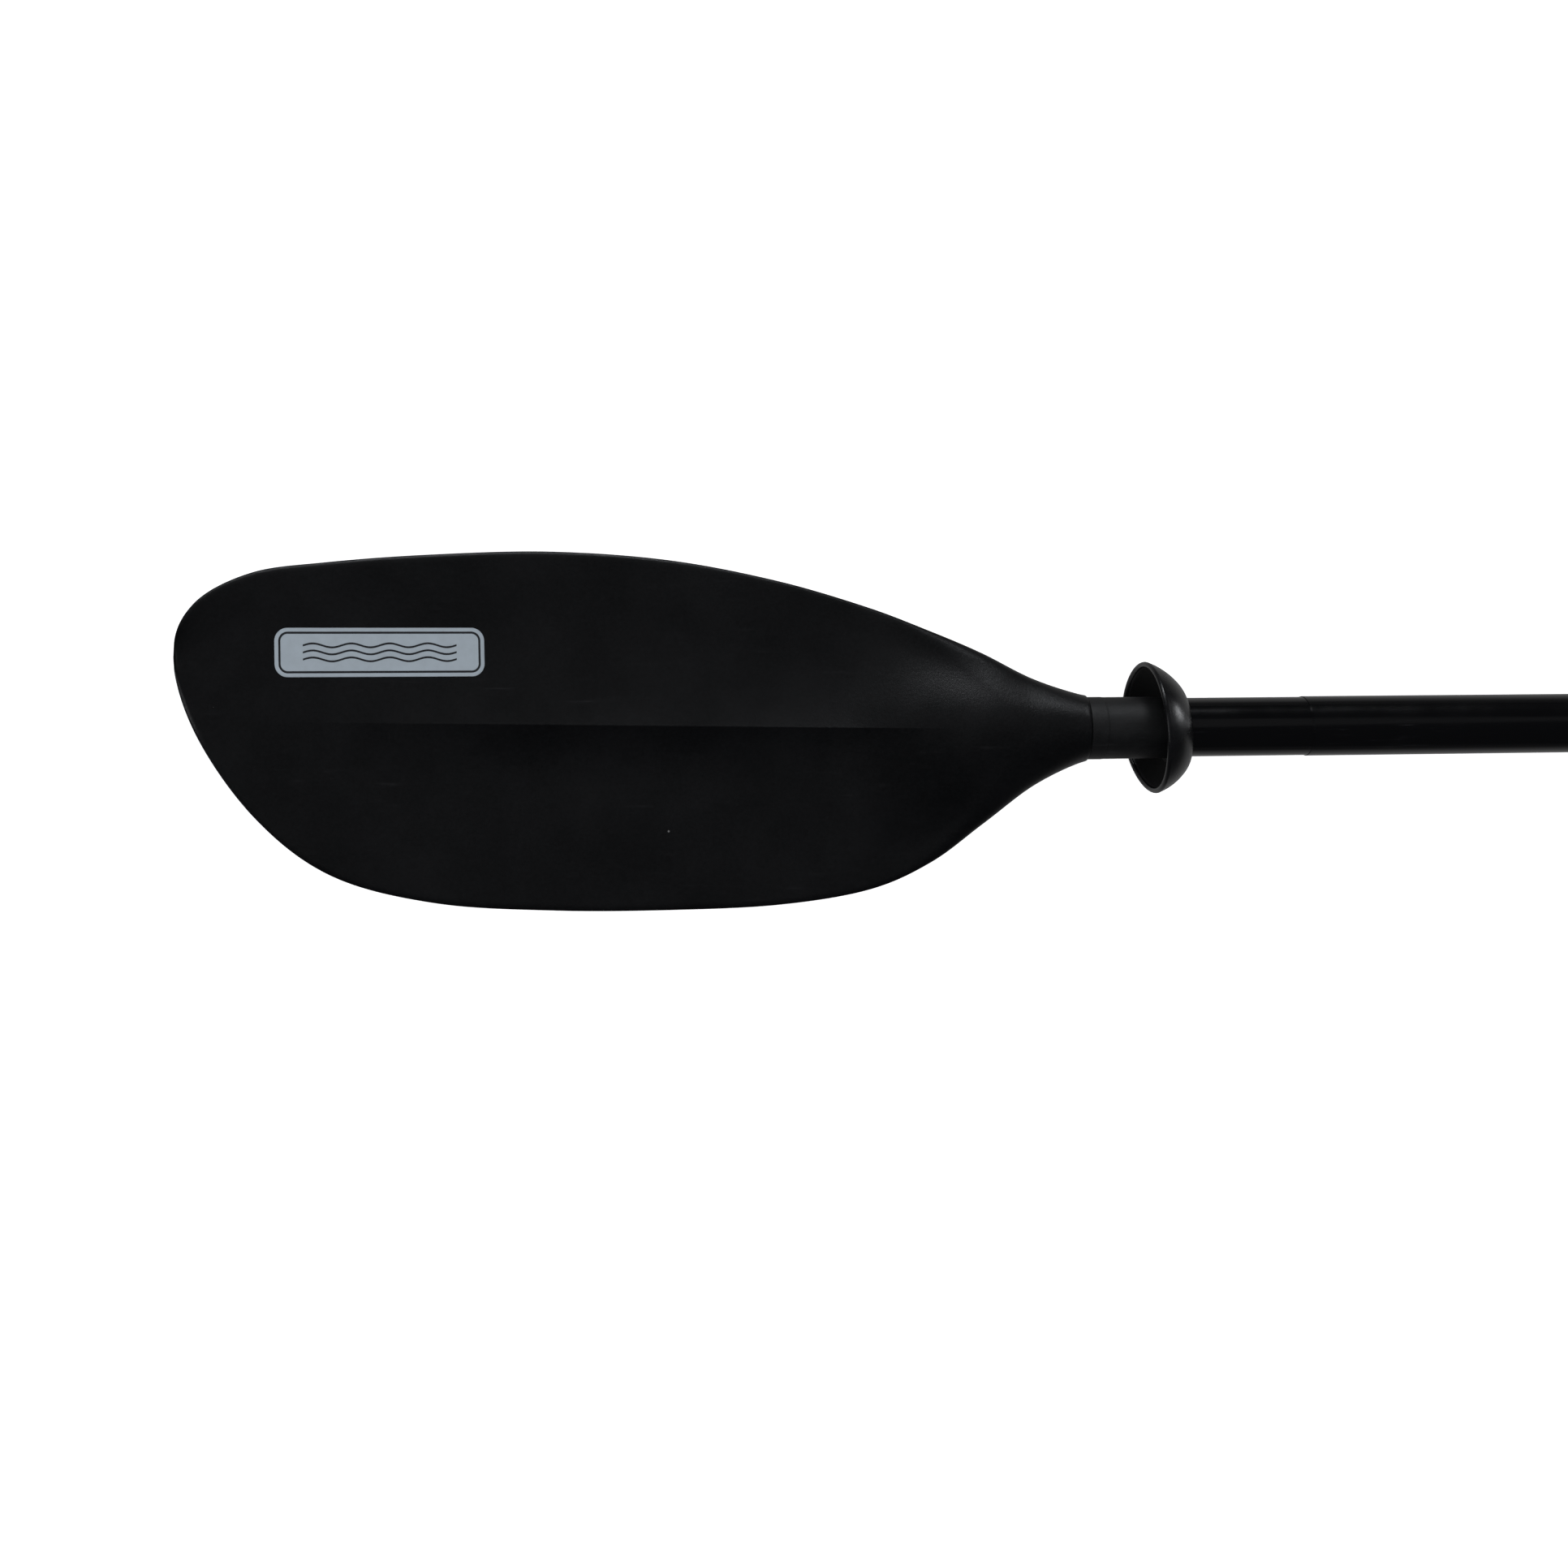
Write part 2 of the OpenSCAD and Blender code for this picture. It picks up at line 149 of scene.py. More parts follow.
def make_mesh(name, points, quads, triangles=None):
    """A smooth-shaded mesh object from arrays of points, quads and triangles, linked to the scene."""
    triangles = np.zeros((0, 3), int) if triangles is None else triangles
    used = np.unique(np.concatenate([quads.ravel(), triangles.ravel()]))
    renumber = np.zeros(len(points), int)
    renumber[used] = np.arange(len(used))
    points, quads, triangles = np.asarray(points)[used], renumber[quads], renumber[triangles]
    mesh = bpy.data.meshes.new(name)
    mesh.vertices.add(len(points))
    mesh.vertices.foreach_set("co", np.asarray(points, np.float32).ravel())
    mesh.loops.add(quads.size + triangles.size)
    mesh.loops.foreach_set("vertex_index", np.concatenate([quads.ravel(), triangles.ravel()]).astype(np.int32))
    starts = np.concatenate([np.arange(len(quads)) * 4, quads.size + np.arange(len(triangles)) * 3])
    mesh.polygons.add(len(starts))
    mesh.polygons.foreach_set("loop_start", starts.astype(np.int32))
    mesh.update(calc_edges=True)
    mesh.validate()
    mesh.polygons.foreach_set("use_smooth", np.ones(len(mesh.polygons), bool))
    made = bpy.data.objects.new(name, mesh)
    bpy.context.collection.objects.link(made)
    return made


def glowing_sheet(name, drop, grey):
    """The table's grid, lowered by drop metres, in a grey paint; returns it, the paint's tree and shader."""
    points = table_top().reshape(-1, 3) - (0, 0, drop)
    made = make_mesh(name, points, grid_faces(table_points, table_points, False))
    paint, tree, shader = new_material(name + "_paint")
    fill(tree, shader, base_color=(grey, grey, grey, 1), roughness=0.7, emission_color=(1, 1, 1, 1))
    made.data.materials.append(paint)
    return made, tree, shader


# The table is seen. A dimmer sheet just under it, bright only beside the paddle, is what gloss reflects.
table, _, table_shader = glowing_sheet("table", 0.0, 0.92)
table_shader.inputs["Emission Strength"].default_value = 0.86
table.visible_glossy = False
table.visible_diffuse = False
dim_sheet, sheet_tree, sheet_shader = glowing_sheet("dim_sheet", 0.004, 0.1)
place = new_node(sheet_tree, "SeparateXYZ", vector=object_coordinates(sheet_tree))
beside = math_node(sheet_tree, "ABSOLUTE", place.outputs["Y"])
fill(sheet_tree, sheet_shader, emission_strength=ramp(sheet_tree, beside, 0.04, 0.16, 0.30, 0.04))
dim_sheet.visible_camera = False
dim_sheet.visible_shadow = False

cool_white, plain_white = (0.93, 0.96, 1.0), (0.97, 0.98, 1.0)
world = bpy.data.worlds.new("room")
world.use_nodes = True
fill(world.node_tree, world.node_tree.nodes["Background"], color=(*cool_white, 1), strength=0.03)
scene.world = world


def soft_light(name, place, size, power, colour, aim_x=neck_x, diffuse=False, glossy=True):
    """A rectangular softbox at a place, turned to face the shaft's line at aim_x. It lights what diffuse and
    glossy say."""
    data = bpy.data.lights.new(name, "AREA")
    data.shape = "RECTANGLE"
    data.size, data.size_y = size
    data.energy = power
    data.color = colour
    lamp = bpy.data.objects.new(name, data)
    lamp.location = place
    lamp.rotation_euler = (Vector((aim_x, 0, 0)) - Vector(place)).to_track_quat("-Z", "Y").to_euler()
    lamp.visible_diffuse = diffuse
    lamp.visible_glossy = glossy
    bpy.context.collection.objects.link(lamp)


# The upper softboxes end a little past the drip guard, so that the gloss tube doesn't mirror them. The light
# from above isn't mirrored either; a faint card near it is. Weaker ones stand beyond the tip and the grip.
soft_light("upper_softbox", (-0.55, 1.6, 0.74), (1.9, 0.26), 8, cool_white)
soft_light("neck_softbox", (0.06, 1.6, 0.86), (0.4, 0.22), 4.5, cool_white)
soft_light("tip_softbox", (-2.1, -0.3, 1.5), (1.4, 1.0), 6, plain_white, aim_x=tip_x, diffuse=True)
soft_light("fill", (-0.4, 0.2, 2.6), (3.0, 3.0), 48, plain_white, diffuse=True, glossy=False)
soft_light("card", (0.3, 0.6, 2.2), (1.4, 1.4), 0.6, plain_white)
soft_light("grip_side_softbox", (2.3, 0.75, 0.22), (0.6, 0.35), 6, (0.95, 0.97, 1.0))

# ---------------------------------------------------------------------------------------------
# Blade: one moulding of filled polypropylene with the neck that the shaft is pushed into. Its power
# face is spooned, with a sharp crease along the middle, rims that curl up and a fine spark-eroded grain.

blade_length = neck_x - tip_x
neck_r, neck_edge = 0.01575, 0.0005
mouth_bead = 0.00025
socket_r, socket_depth = 0.01435, 0.050
half_width = (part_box("blade")[1].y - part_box("blade")[0].y) / 2
rim_half, core_half = 0.0014, 0.0012
spoon_rise, spoon_start = 0.024, 0.110
ridge_height = 0.0055
curl_height = 0.0025
tip_offset = 0.0365
mouth_gap, mouth_trim = 0.0004, 0.0015

# Percent along the blade, then the upper and the lower edge's reach beyond the neck in percent of
# the half width. The first and the last row only steer the ends of the curve.
outline_rows = np.array([
    (-6, -6, -6),
    (0, 0, 0),
    (6, 12, 16.5),
    (12, 31, 43.5),
    (18, 47, 70),
    (25, 63.5, 88),
    (35, 81.5, 97),
    (47, 95.5, 99),
    (60, 101, 97.5),
    (73, 98.5, 90.5),
    (84, 93, 70.5),
    (92, 85.5, 30.5),
    (98, 64.5, -26),
    (100, 30.5, -76.5),
    (97, -25, -106),
]) / 100
outline_spans = len(outline_rows) - 3


def outline_at(t):
    """A Catmull-Rom curve through the outline's rows: the cubic through four neighbouring rows at a time."""
    k = np.minimum(np.floor(t).astype(int), outline_spans - 1)
    u = (t - k)[..., None]
    a, b, c, d = (outline_rows[k + step] for step in range(4))
    curve = 2 * b + (c - a) * u + (2 * a - 5 * b + 4 * c - d) * u**2 + (3 * b - a - 3 * c + d) * u**3
    return np.moveaxis(curve / 2, -1, 0)


def step_up(low, high, x):
    """A smooth step from 0 to 1 between low and high: three t squared less two t cubed."""
    t = np.clip((x - low) / (high - low), 0, 1)
    return t * t * (3 - 2 * t)


def bell(y, half):
    """A bump of height 1 that reaches 0 with level ends at half: one less the square, squared."""
    return np.maximum(0, 1 - (y / half) ** 2) ** 2


def crease_height(s, w, above):
    """The crease stands proud of two hollow flanks: a square law that runs out at 0.6 of the way to the
    upper rim, and a steeper cube law that runs out at 0.4 of the way to the lower rim."""
    gain = ridge_height * step_up(0.070, 0.125, s) * (1 - step_up(0.55, 0.92, s / blade_length))
    return gain * np.where(above, np.maximum(0, 1 - w / 0.6) ** 2, np.maximum(0, 1 - w / 0.4) ** 3)


def blade_section(t):
    """Where a row of the blade lies: its distance from the neck's mouth, its lower rim, its upper rim and its
    crease. The crease drifts up as a straight line, held at least a fifth of the way off the lower rim."""
    along, upper, lower = outline_at(t)
    s = blade_length * along
    high = neck_r + (half_width - neck_r) * upper
    low = -neck_r - (half_width - neck_r) * lower
    share = (0.018 * np.maximum(0, s - 0.060) - low) / np.maximum(high - low, 1e-6)
    share = (share + 0.22 + np.hypot(share - 0.22, 0.05)) / 2
    return s, low, high, low + share * (high - low)


def blade_skin(t, v, side):
    """The blade's skin: t counts outline rows along it, v runs from the lower rim (-1) over the crease (0)
    to the upper rim (1), and side is 1 on the power face and -1 behind. The middle of the wall is the spoon's
    power curve plus the crease plus the rims' curl. Half the thickness is a quarter ellipse over the distance
    from the rim, plus the core, plus the socket's round wall as it runs out. The ellipse is as wide as the
    lesser of 2.2 times its height and the reach, softly blended."""
    s, low, high, crease_y = blade_section(t)
    w = np.abs(v)
    reach = np.maximum(np.where(v > 0, high - crease_y, crease_y - low), 1e-6)
    edge_half = rim_half + (neck_r - rim_half) * (1 - step_up(0, 0.100, s))
    from_side = (1 - w) * reach
    from_tip = np.maximum(blade_length - s, 1e-6)
    from_rim = from_side * from_tip / np.hypot(from_side, from_tip)
    blend = 0.006 * step_up(0, 0.025, s)
    rolled = (2.2 * edge_half + reach - np.hypot(2.2 * edge_half - reach, blend)) / 2
    rise = edge_half * np.sqrt(np.maximum(0, 1 - (1 - np.minimum(from_rim / rolled, 1)) ** 2))
    core = core_half * step_up(0.040, 0.120, s) * (1 - w**2) * (1 - step_up(0.9, 1.0, s / blade_length))
    socket = neck_r * (1 - step_up(socket_depth, 0.150 if side > 0 else 0.230, s))
    bump = bell(w, 0.85) if side > 0 else bell(v * reach, 0.021)
    spoon = spoon_rise * np.maximum(0, (s - spoon_start) / (blade_length - spoon_start)) ** 1.8
    curl = curl_height * step_up(0.060, 0.190, s) * w**2.4
    middle = spoon + crease_height(s, w, v > 0) + curl
    z = middle + side * (rise + core + np.maximum(0, socket - edge_half) * bump)
    return np.stack(np.broadcast_arrays(neck_x - s, crease_y + v * reach, z), axis=-1)


def capped_mesh(name, rings, first=None, last=None):
    """A closed skin whose end rows each run into one point: the one given, or the middle of that row."""
    rows, cols = rings.shape[:2]
    first = rings[0].mean(axis=0) if first is None else first
    last = rings[-1].mean(axis=0) if last is None else last
    points = np.concatenate([rings.reshape(-1, 3), [first], [last]])
    ring = np.arange(cols)
    after, end = (ring + 1) % cols, (rows - 1) * cols
    first_fan = np.stack([np.full(cols, rows * cols), after, ring], axis=1)
    last_fan = np.stack([end + ring, end + after, np.full(cols, rows * cols + 1)], axis=1)
    return make_mesh(name, points, grid_faces(rows, cols, True), np.concatenate([first_fan, last_fan]))


def blade_mesh():
    """A closed skin: the socket's floor and wall, the rounded mouth with its bead, the power face and the back,
    and the tip."""
    rows, half_cols = outline_spans * 24, 44
    t = np.linspace(0, outline_spans, rows + 1)[:-1, None]
    share = (1 - np.cos(np.pi * np.arange(half_cols + 1) / half_cols)) / 2
    v = np.concatenate([-share[::-1], share[1:]])[None, :]
    rings = np.concatenate([blade_skin(t, v, 1), blade_skin(t, v[:, ::-1][:, 1:-1], -1)], axis=1)
    bead = mouth_bead * np.exp(-(((neck_x - rings[..., :1]) / 0.0016) ** 2))
    rings[..., 1:] *= 1 + bead / neck_r
    mouth = rings[0, :, 1:] / np.linalg.norm(rings[0, :, 1:], axis=1, keepdims=True)

    def round_ring(x, r):
        return np.concatenate([np.full((len(mouth), 1), x), mouth * r], axis=1)[None]

    floor_x = neck_x - socket_depth
    inside = [round_ring(floor_x, socket_r), round_ring(neck_x - 0.0006, socket_r),
              round_ring(neck_x, socket_r + 0.0004)]
    for angle in np.linspace(0, np.pi / 2, 6)[:-1]:
        inside.append(round_ring(neck_x - neck_edge * (1 - np.cos(angle)),
                                 neck_r + mouth_bead - neck_edge * (1 - np.sin(angle))))
    rings = np.concatenate([*inside, rings[2:]])
    rings[..., 0] -= mouth_slant(rings)
    tip = (tip_x, tip_offset, spoon_rise + curl_height)
    return capped_mesh("blade_moulding", rings, (floor_x, 0, 0), tip)


def mouth_slant(points):
    """The neck's mouth stands 0.4 mm off the collar, and 1.5 mm more at the power face, where it is trimmed a
    little out of square. Both fade out over 20 mm."""
    near = np.maximum(0, 1 - np.abs(points[..., 0] - neck_x) / 0.020)
    return near**2 * (mouth_gap + mouth_trim * np.maximum(0, points[..., 2] / neck_r))


def effect_group(name, numbers, outputs):
    """An empty node group with a Vector and some number inputs; returns it and its two end nodes."""
    group = bpy.data.node_groups.new(name, "ShaderNodeTree")
    group.interface.new_socket("Vector", in_out="INPUT", socket_type="NodeSocketVector")
    for label in numbers:
        group.interface.new_socket(label, in_out="INPUT", socket_type="NodeSocketFloat")
    for label in outputs:
        group.interface.new_socket(label, in_out="OUTPUT", socket_type="NodeSocketFloat")
    return group, group.nodes.new("NodeGroupInput"), group.nodes.new("NodeGroupOutput")


def noise_node(tree, vector, scale, detail=2.0, rough=0.5):
    """A 3D noise's value."""
    return new_node(tree, "TexNoise", vector=vector, scale=scale, detail=detail, roughness=rough).outputs["Fac"]


def mould_grain_group():
    """Grain: fine noise averaged with coarser noise as Height; Tone is slow cloudiness from 0 to 1."""
    tree, start, end = effect_group("mould_grain", ("Grain Scale", "Cloud Scale"), ("Height", "Tone"))
    place, scale = start.outputs["Vector"], start.outputs["Grain Scale"]
    fine = noise_node(tree, place, scale, 3.0, 0.6)
    coarse = noise_node(tree, place, math_node(tree, "MULTIPLY", scale, 0.35))
    both = math_node(tree, "ADD", fine, coarse)
    cloud = noise_node(tree, place, start.outputs["Cloud Scale"], 4.0, 0.62)
    fill(tree, end, height=math_node(tree, "MULTIPLY", both, 0.5), tone=cloud)
    return tree


def dust_group():
    """Dust: a Voronoi cell's distance under a small random radius gives specks, as a mask from 0 to 1."""
    tree, start, end = effect_group("dust", ("Speck Scale", "Amount"), ("Mask",))
    cells = new_node(tree, "TexVoronoi", vector=start.outputs["Vector"], scale=start.outputs["Speck Scale"])
    random = new_node(tree, "SeparateColor", color=cells.outputs["Color"])
    size = math_node(tree, "MULTIPLY", math_node(tree, "POWER", random.outputs[0], 6.0), 0.12)
    inside = math_node(tree, "LESS_THAN", cells.outputs["Distance"], size)
    chosen = math_node(tree, "LESS_THAN", random.outputs[1], start.outputs["Amount"])
    fill(tree, end, mask=math_node(tree, "MULTIPLY", inside, chosen))
    return tree


def scuff_group():
    """Scuffs: noise stretched along X, raised to a high power, times slow patches; a mask from 0 to 1."""
    tree, start, end = effect_group("scuffs", ("Line Scale", "Amount"), ("Mask",))
    place = start.outputs["Vector"]
    stretch = new_node(tree, "VectorMath")
    stretch.operation = "MULTIPLY"
    tree.links.new(place, stretch.inputs[0])
    stretch.inputs[1].default_value = (0.06, 1.0, 1.0)
    lines = noise_node(tree, stretch.outputs[0], start.outputs["Line Scale"])
    sharp = math_node(tree, "POWER", math_node(tree, "MULTIPLY", lines, 1.45), 14.0)
    where = math_node(tree, "POWER", math_node(tree, "MULTIPLY", noise_node(tree, place, 30.0), 1.5), 6.0)
    mask = math_node(tree, "MULTIPLY", math_node(tree, "MULTIPLY", sharp, where), start.outputs["Amount"])
    fill(tree, end, mask=math_node(tree, "MINIMUM", mask, 1.0))
    return tree


mould_grain = mould_grain_group()
dust = dust_group()
scuffs = scuff_group()


def place_group(tree, group, vector, **values):
    """Puts an effect group into a material, with its Vector linked and its other inputs set."""
    node = new_node(tree, "Group")
    node.node_tree = group
    return fill(tree, node, vector=vector, **values)


def mix_colour(tree, share, first, second):
    """Blends two colours, each an output or three plain numbers, by a share from 0 to 1."""
    node = new_node(tree, "Mix")
    node.data_type = "RGBA"
    fill(tree, node, factor=share)
    for socket, value in zip([s for s in node.inputs if s.type == "RGBA"], (first, second)):
        if isinstance(value, tuple):
            socket.default_value = (*value, 1)
        else:
            tree.links.new(value, socket)
    return [s for s in node.outputs if s.type == "RGBA"][0]


def bump_normal(tree, height, depth):
    """A normal made from a height in shares of depth metres."""
    return new_node(tree, "Bump", strength=1.0, distance=depth, height=height).outputs["Normal"]


def moulded_black():
    """Near-black filled polypropylene: cloudy tone, fine grain, faint scuffs and a few dust specks."""
    made, tree, shader = new_material("moulded_black")
    place = object_coordinates(tree)
    grain = place_group(tree, mould_grain, place, grain_scale=1900.0, cloud_scale=24.0)
    specks = place_group(tree, dust, place, speck_scale=150.0, amount=0.06)
    marks = place_group(tree, scuffs, place, line_scale=420.0, amount=0.12)
    mottle = noise_node(tree, place, 620.0, 2.0, 0.6)
    cloud = math_node(tree, "MULTIPLY", math_node(tree, "ADD", grain.outputs["Tone"], mottle), 0.5)
    tone = mix_colour(tree, ramp(tree, cloud, 0.36, 0.64), (0.0021, 0.0022, 0.0026), (0.0044, 0.0045, 0.0052))
    scuffed = mix_colour(tree, marks.outputs["Mask"], tone, (0.016, 0.016, 0.018))
    fill(tree, shader, base_color=mix_colour(tree, specks.outputs["Mask"], scuffed, (0.16, 0.16, 0.16)),
         roughness=ramp(tree, grain.outputs["Tone"], 0.3, 0.7, 0.34, 0.44),
         normal=bump_normal(tree, grain.outputs["Height"], 0.00012))
    shader.inputs["Specular IOR Level"].default_value = 0.40
    return made


blade = blade_mesh()
blade.data.materials.append(moulded_black())
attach(blade, "blade_half")
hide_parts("blade")

# ---------------------------------------------------------------------------------------------
# Mark on the power face: a printed foil with round corners in light grey, a dark line inside its edge and
# three plain waves, heat-stamped on the upper half of the blade near the tip.

mark_s, mark_y = 0.345, 0.038
mark_half_length, mark_half_height, mark_corner = 0.049, 0.0112, 0.006
foil_lift, foil_root = 0.0001, 0.0003
foil_grey = (0.47, 0.54, 0.60)
wave_pitch, wave_height, wave_turn = 3.2, 0.9, 0.35


def on_power_face(s, y):
    """Points of the power face at distances s from the neck and y from the shaft's line: the outline's rows
    are found by interpolation, and y is turned into its share of the way from the crease to the rim."""
    fine = np.linspace(0, outline_spans, 2000)
    t = np.interp(s, blade_section(fine)[0], fine)
    _, _, high, crease_y = blade_section(t)
    return blade_skin(t, (y - crease_y) / (high - crease_y), 1)


def run_along(polyline):
    """The distance along a polyline at each of its points."""
    return np.append(0, np.cumsum(np.linalg.norm(np.diff(polyline, axis=0), axis=1)))


def mark_outline(count):
    """A rectangle whose corners are quarter circles, as count points at even steps along its edge."""
    middle = (mark_half_length - mark_corner, mark_half_height - mark_corner)
    turned = np.linspace(0, np.pi / 2, 24)[:, None] + np.arange(4) * np.pi / 2
    side = np.array([(1, 1), (-1, 1), (-1, -1), (1, -1)])
    loop = [side[k] * middle + mark_corner * np.stack([np.cos(turned[:, k]), np.sin(turned[:, k])], axis=1)
            for k in range(4)]
    loop = np.concatenate([*loop, loop[0][:1]])
    run = run_along(loop)
    at = np.linspace(0, run[-1], count, endpoint=False)
    return np.interp(at, run, loop[:, 0]), np.interp(at, run, loop[:, 1])


def mark_mesh():
    """A thin closed shell on the power face. The outline's rings shrink to the middle, and the lower rings
    go 0.3 mm into the blade. The UV map is the place on the foil, as shares of 100 mm from its middle."""
    count = 240
    p, q = mark_outline(count)
    share = np.concatenate([np.linspace(0.04, 1, 26), [1.003, 1.0, 0.5, 0.04]])[:, None]
    lift = np.concatenate([np.full(25, foil_lift), [0.00008, 0.0], np.full(3, -foil_root)])
    points = on_power_face(mark_s - share * p, mark_y + share * q)
    points[..., 2] += lift[:, None]
    middle = on_power_face(np.array([mark_s]), np.array([mark_y]))[0]
    flat = np.concatenate([points.reshape(-1, 3), [middle + (0, 0, foil_lift)], [middle - (0, 0, foil_root)]])
    ring = np.arange(count)
    after, last = (ring + 1) % count, (len(share) - 1) * count
    fans = [np.stack([np.full(count, len(flat) - 2), ring, after], axis=1),
            np.stack([last + after, last + ring, np.full(count, len(flat) - 1)], axis=1)]
    quads = grid_faces(len(share), count, True)[:, ::-1]
    made = make_mesh("blade_mark", flat, quads, np.concatenate(fans))
    uv = np.concatenate([np.stack([(share * p).ravel(), (share * q).ravel()], axis=1), np.zeros((2, 2))])
    corners = np.zeros(len(made.data.loops), np.int32)
    made.data.loops.foreach_get("vertex_index", corners)
    shares = (uv[corners] / 0.1 + 0.5).astype(np.float32)
    made.data.uv_layers.new(name="mark").data.foreach_set("uv", shares.ravel())
    return made


def printed_foil():
    """Light foil with a dark line where the distance from an inner box is 3.3 to 4.3 mm, and three waves:
    lines a pitch apart in the height less a sine of the place along the foil, all in millimetres."""
    made, tree, shader = new_material("printed_foil")
    uv = new_node(tree, "UVMap")
    uv.uv_map = "mark"
    split = new_node(tree, "SeparateXYZ", vector=uv.outputs["UV"])

    def m(operation, first, second=None):
        return math_node(tree, operation, first, second)

    p = m("MULTIPLY", m("SUBTRACT", split.outputs[0], 0.5), 100.0)
    q = m("MULTIPLY", m("SUBTRACT", split.outputs[1], 0.5), 100.0)
    beyond_p = m("MAXIMUM", m("SUBTRACT", m("ABSOLUTE", p), 43.0), 0.0)
    beyond_q = m("MAXIMUM", m("SUBTRACT", m("ABSOLUTE", q), 5.2), 0.0)
    far = m("SQRT", m("ADD", m("MULTIPLY", beyond_p, beyond_p), m("MULTIPLY", beyond_q, beyond_q)))
    ring = m("MULTIPLY", m("GREATER_THAN", far, 3.3), m("LESS_THAN", far, 4.3))
    height = m("SUBTRACT", q, m("MULTIPLY", m("SINE", m("MULTIPLY", p, wave_turn)), wave_height))
    band = m("ABSOLUTE", m("SUBTRACT", m("FRACT", m("ADD", m("DIVIDE", height, wave_pitch), 0.5)), 0.5))
    inside = m("MULTIPLY", m("LESS_THAN", m("ABSOLUTE", p), 36.0), m("LESS_THAN", m("ABSOLUTE", height), 4.6))
    waves = m("MULTIPLY", m("LESS_THAN", band, 0.14), inside)
    worn = place_group(tree, mould_grain, object_coordinates(tree), grain_scale=1500.0, cloud_scale=160.0)
    foil = mix_colour(tree, ramp(tree, worn.outputs["Tone"], 0.3, 0.7),
                      tuple(0.90 * c for c in foil_grey), foil_grey)
    fill(tree, shader, base_color=mix_colour(tree, m("MAXIMUM", ring, waves), foil, (0.012, 0.013, 0.016)),
         roughness=ramp(tree, worn.outputs["Tone"], 0.3, 0.7, 0.38, 0.55),
         normal=bump_normal(tree, worn.outputs["Height"], 0.00003))
    return made


mark = mark_mesh()
mark.data.materials.append(printed_foil())
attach(mark, "blade_half")

# ---------------------------------------------------------------------------------------------
# Blade rivet: an alloy blind rivet through the back of the neck into the tube, under the socket. Its
# domed head has the small dished hole that the mandrel leaves when it snaps.

tube_r, tube_wall = 0.0143, 0.0012
rivet_head_r, rivet_shank_r = 0.0045, 0.0024


def rounded(corners, steps=5):
    """A polyline with rounded corners. Each corner is a place and a fillet; it becomes a parabola between
    the points one fillet away on both sides, with one more point just past each so that flats stay flat."""
    corners = np.asarray(corners, float)
    place, fillet = corners[:, :2], corners[:, 2:3]
    back = np.roll(place, 1, axis=0) - place
    ahead = np.roll(place, -1, axis=0) - place
    back /= np.linalg.norm(back, axis=1, keepdims=True)
    ahead /= np.linalg.norm(ahead, axis=1, keepdims=True)
    u = np.linspace(0, 1, steps + 1)[None, :, None]
    start, middle, end = (place + back * fillet)[:, None], place[:, None], (place + ahead * fillet)[:, None]
    arc = (1 - u) ** 2 * start + 2 * u * (1 - u) * middle + u**2 * end
    support = 0.25 * fillet[:, None]
    return np.concatenate([start + back[:, None] * support, arc, end + ahead[:, None] * support], axis=1)


def turned_grid(profile, segments):
    """A profile of (x, r) points carried round the X axis: y is r cosine, z is r sine of the turn."""
    turn = np.linspace(0, 2 * np.pi, segments, endpoint=False)[None, :]
    x, r = profile[:, :1], profile[:, 1:]
    return np.stack(np.broadcast_arrays(x, r * np.cos(turn), r * np.sin(turn)), axis=-1)


def loop_mesh(name, rings):
    """A closed ring-shaped skin: rows of points that join up both ways."""
    rows, cols = rings.shape[:2]
    quads = grid_faces(rows + 1, cols, True) % (rows * cols)
    return make_mesh(name, rings.reshape(-1, 3), quads)


def stood_up(points, x, turn):
    """Stands points turned about X up at x, so that their axis leaves the shaft: turn 0 is +Z, -90 is +Y."""
    angle = math.radians(turn)
    across, out = points[..., 1], points[..., 0]
    around = points[..., 2]
    y = across * math.cos(angle) - out * math.sin(angle)
    z = across * math.sin(angle) + out * math.cos(angle)
    return np.stack([x - around, y, z], axis=-1)


def rivet_rings(seat, tail):
    """A rivet's profile from its tail up its shank, out under the head, over the dome and into its dish."""
    share = np.linspace(0, 1, 9)[:, None]
    over_x = seat + 0.0004 + 0.0011 * np.sin(share * np.pi / 2)
    over_r = rivet_head_r * np.cos(share * np.pi / 2) * (1 - share**8) + 0.0012 * share**8
    dish = [(seat + 0.00125, 0.00105), (seat + 0.0007, 0.0009), (seat + 0.0006, 0.0003)]
    stem = [(tail, 0.0003), (tail, rivet_shank_r - 0.0003), (tail + 0.0003, rivet_shank_r),
            (seat, rivet_shank_r), (seat, rivet_head_r - 0.0002), (seat + 0.0001, rivet_head_r)]
    return turned_grid(np.concatenate([stem, np.concatenate([over_x, over_r], axis=1), dish]), 48)


def worn_paint(name, grain_scales, rub_scale, rub_amount, tones, rubbed, rough, clouds=None):
    """A finish that several pieces share: one tone, or two that follow the slow clouds through a range, with
    rub marks of another colour over it, and a roughness that follows the clouds too. grain_scales are the
    grain's and the clouds'. Returns the material, its tree and its shader, then the grain and the marks."""
    made, tree, shader = new_material(name)
    place = object_coordinates(tree)
    grain = place_group(tree, mould_grain, place, grain_scale=grain_scales[0], cloud_scale=grain_scales[1])
    marks = place_group(tree, scuffs, place, line_scale=rub_scale, amount=rub_amount)
    tone = mix_colour(tree, ramp(tree, grain.outputs["Tone"], *clouds), *tones) if clouds else tones
    fill(tree, shader, base_color=mix_colour(tree, marks.outputs["Mask"], tone, rubbed),
         roughness=ramp(tree, grain.outputs["Tone"], 0.3, 0.7, *rough))
    return made, tree, shader, grain, marks


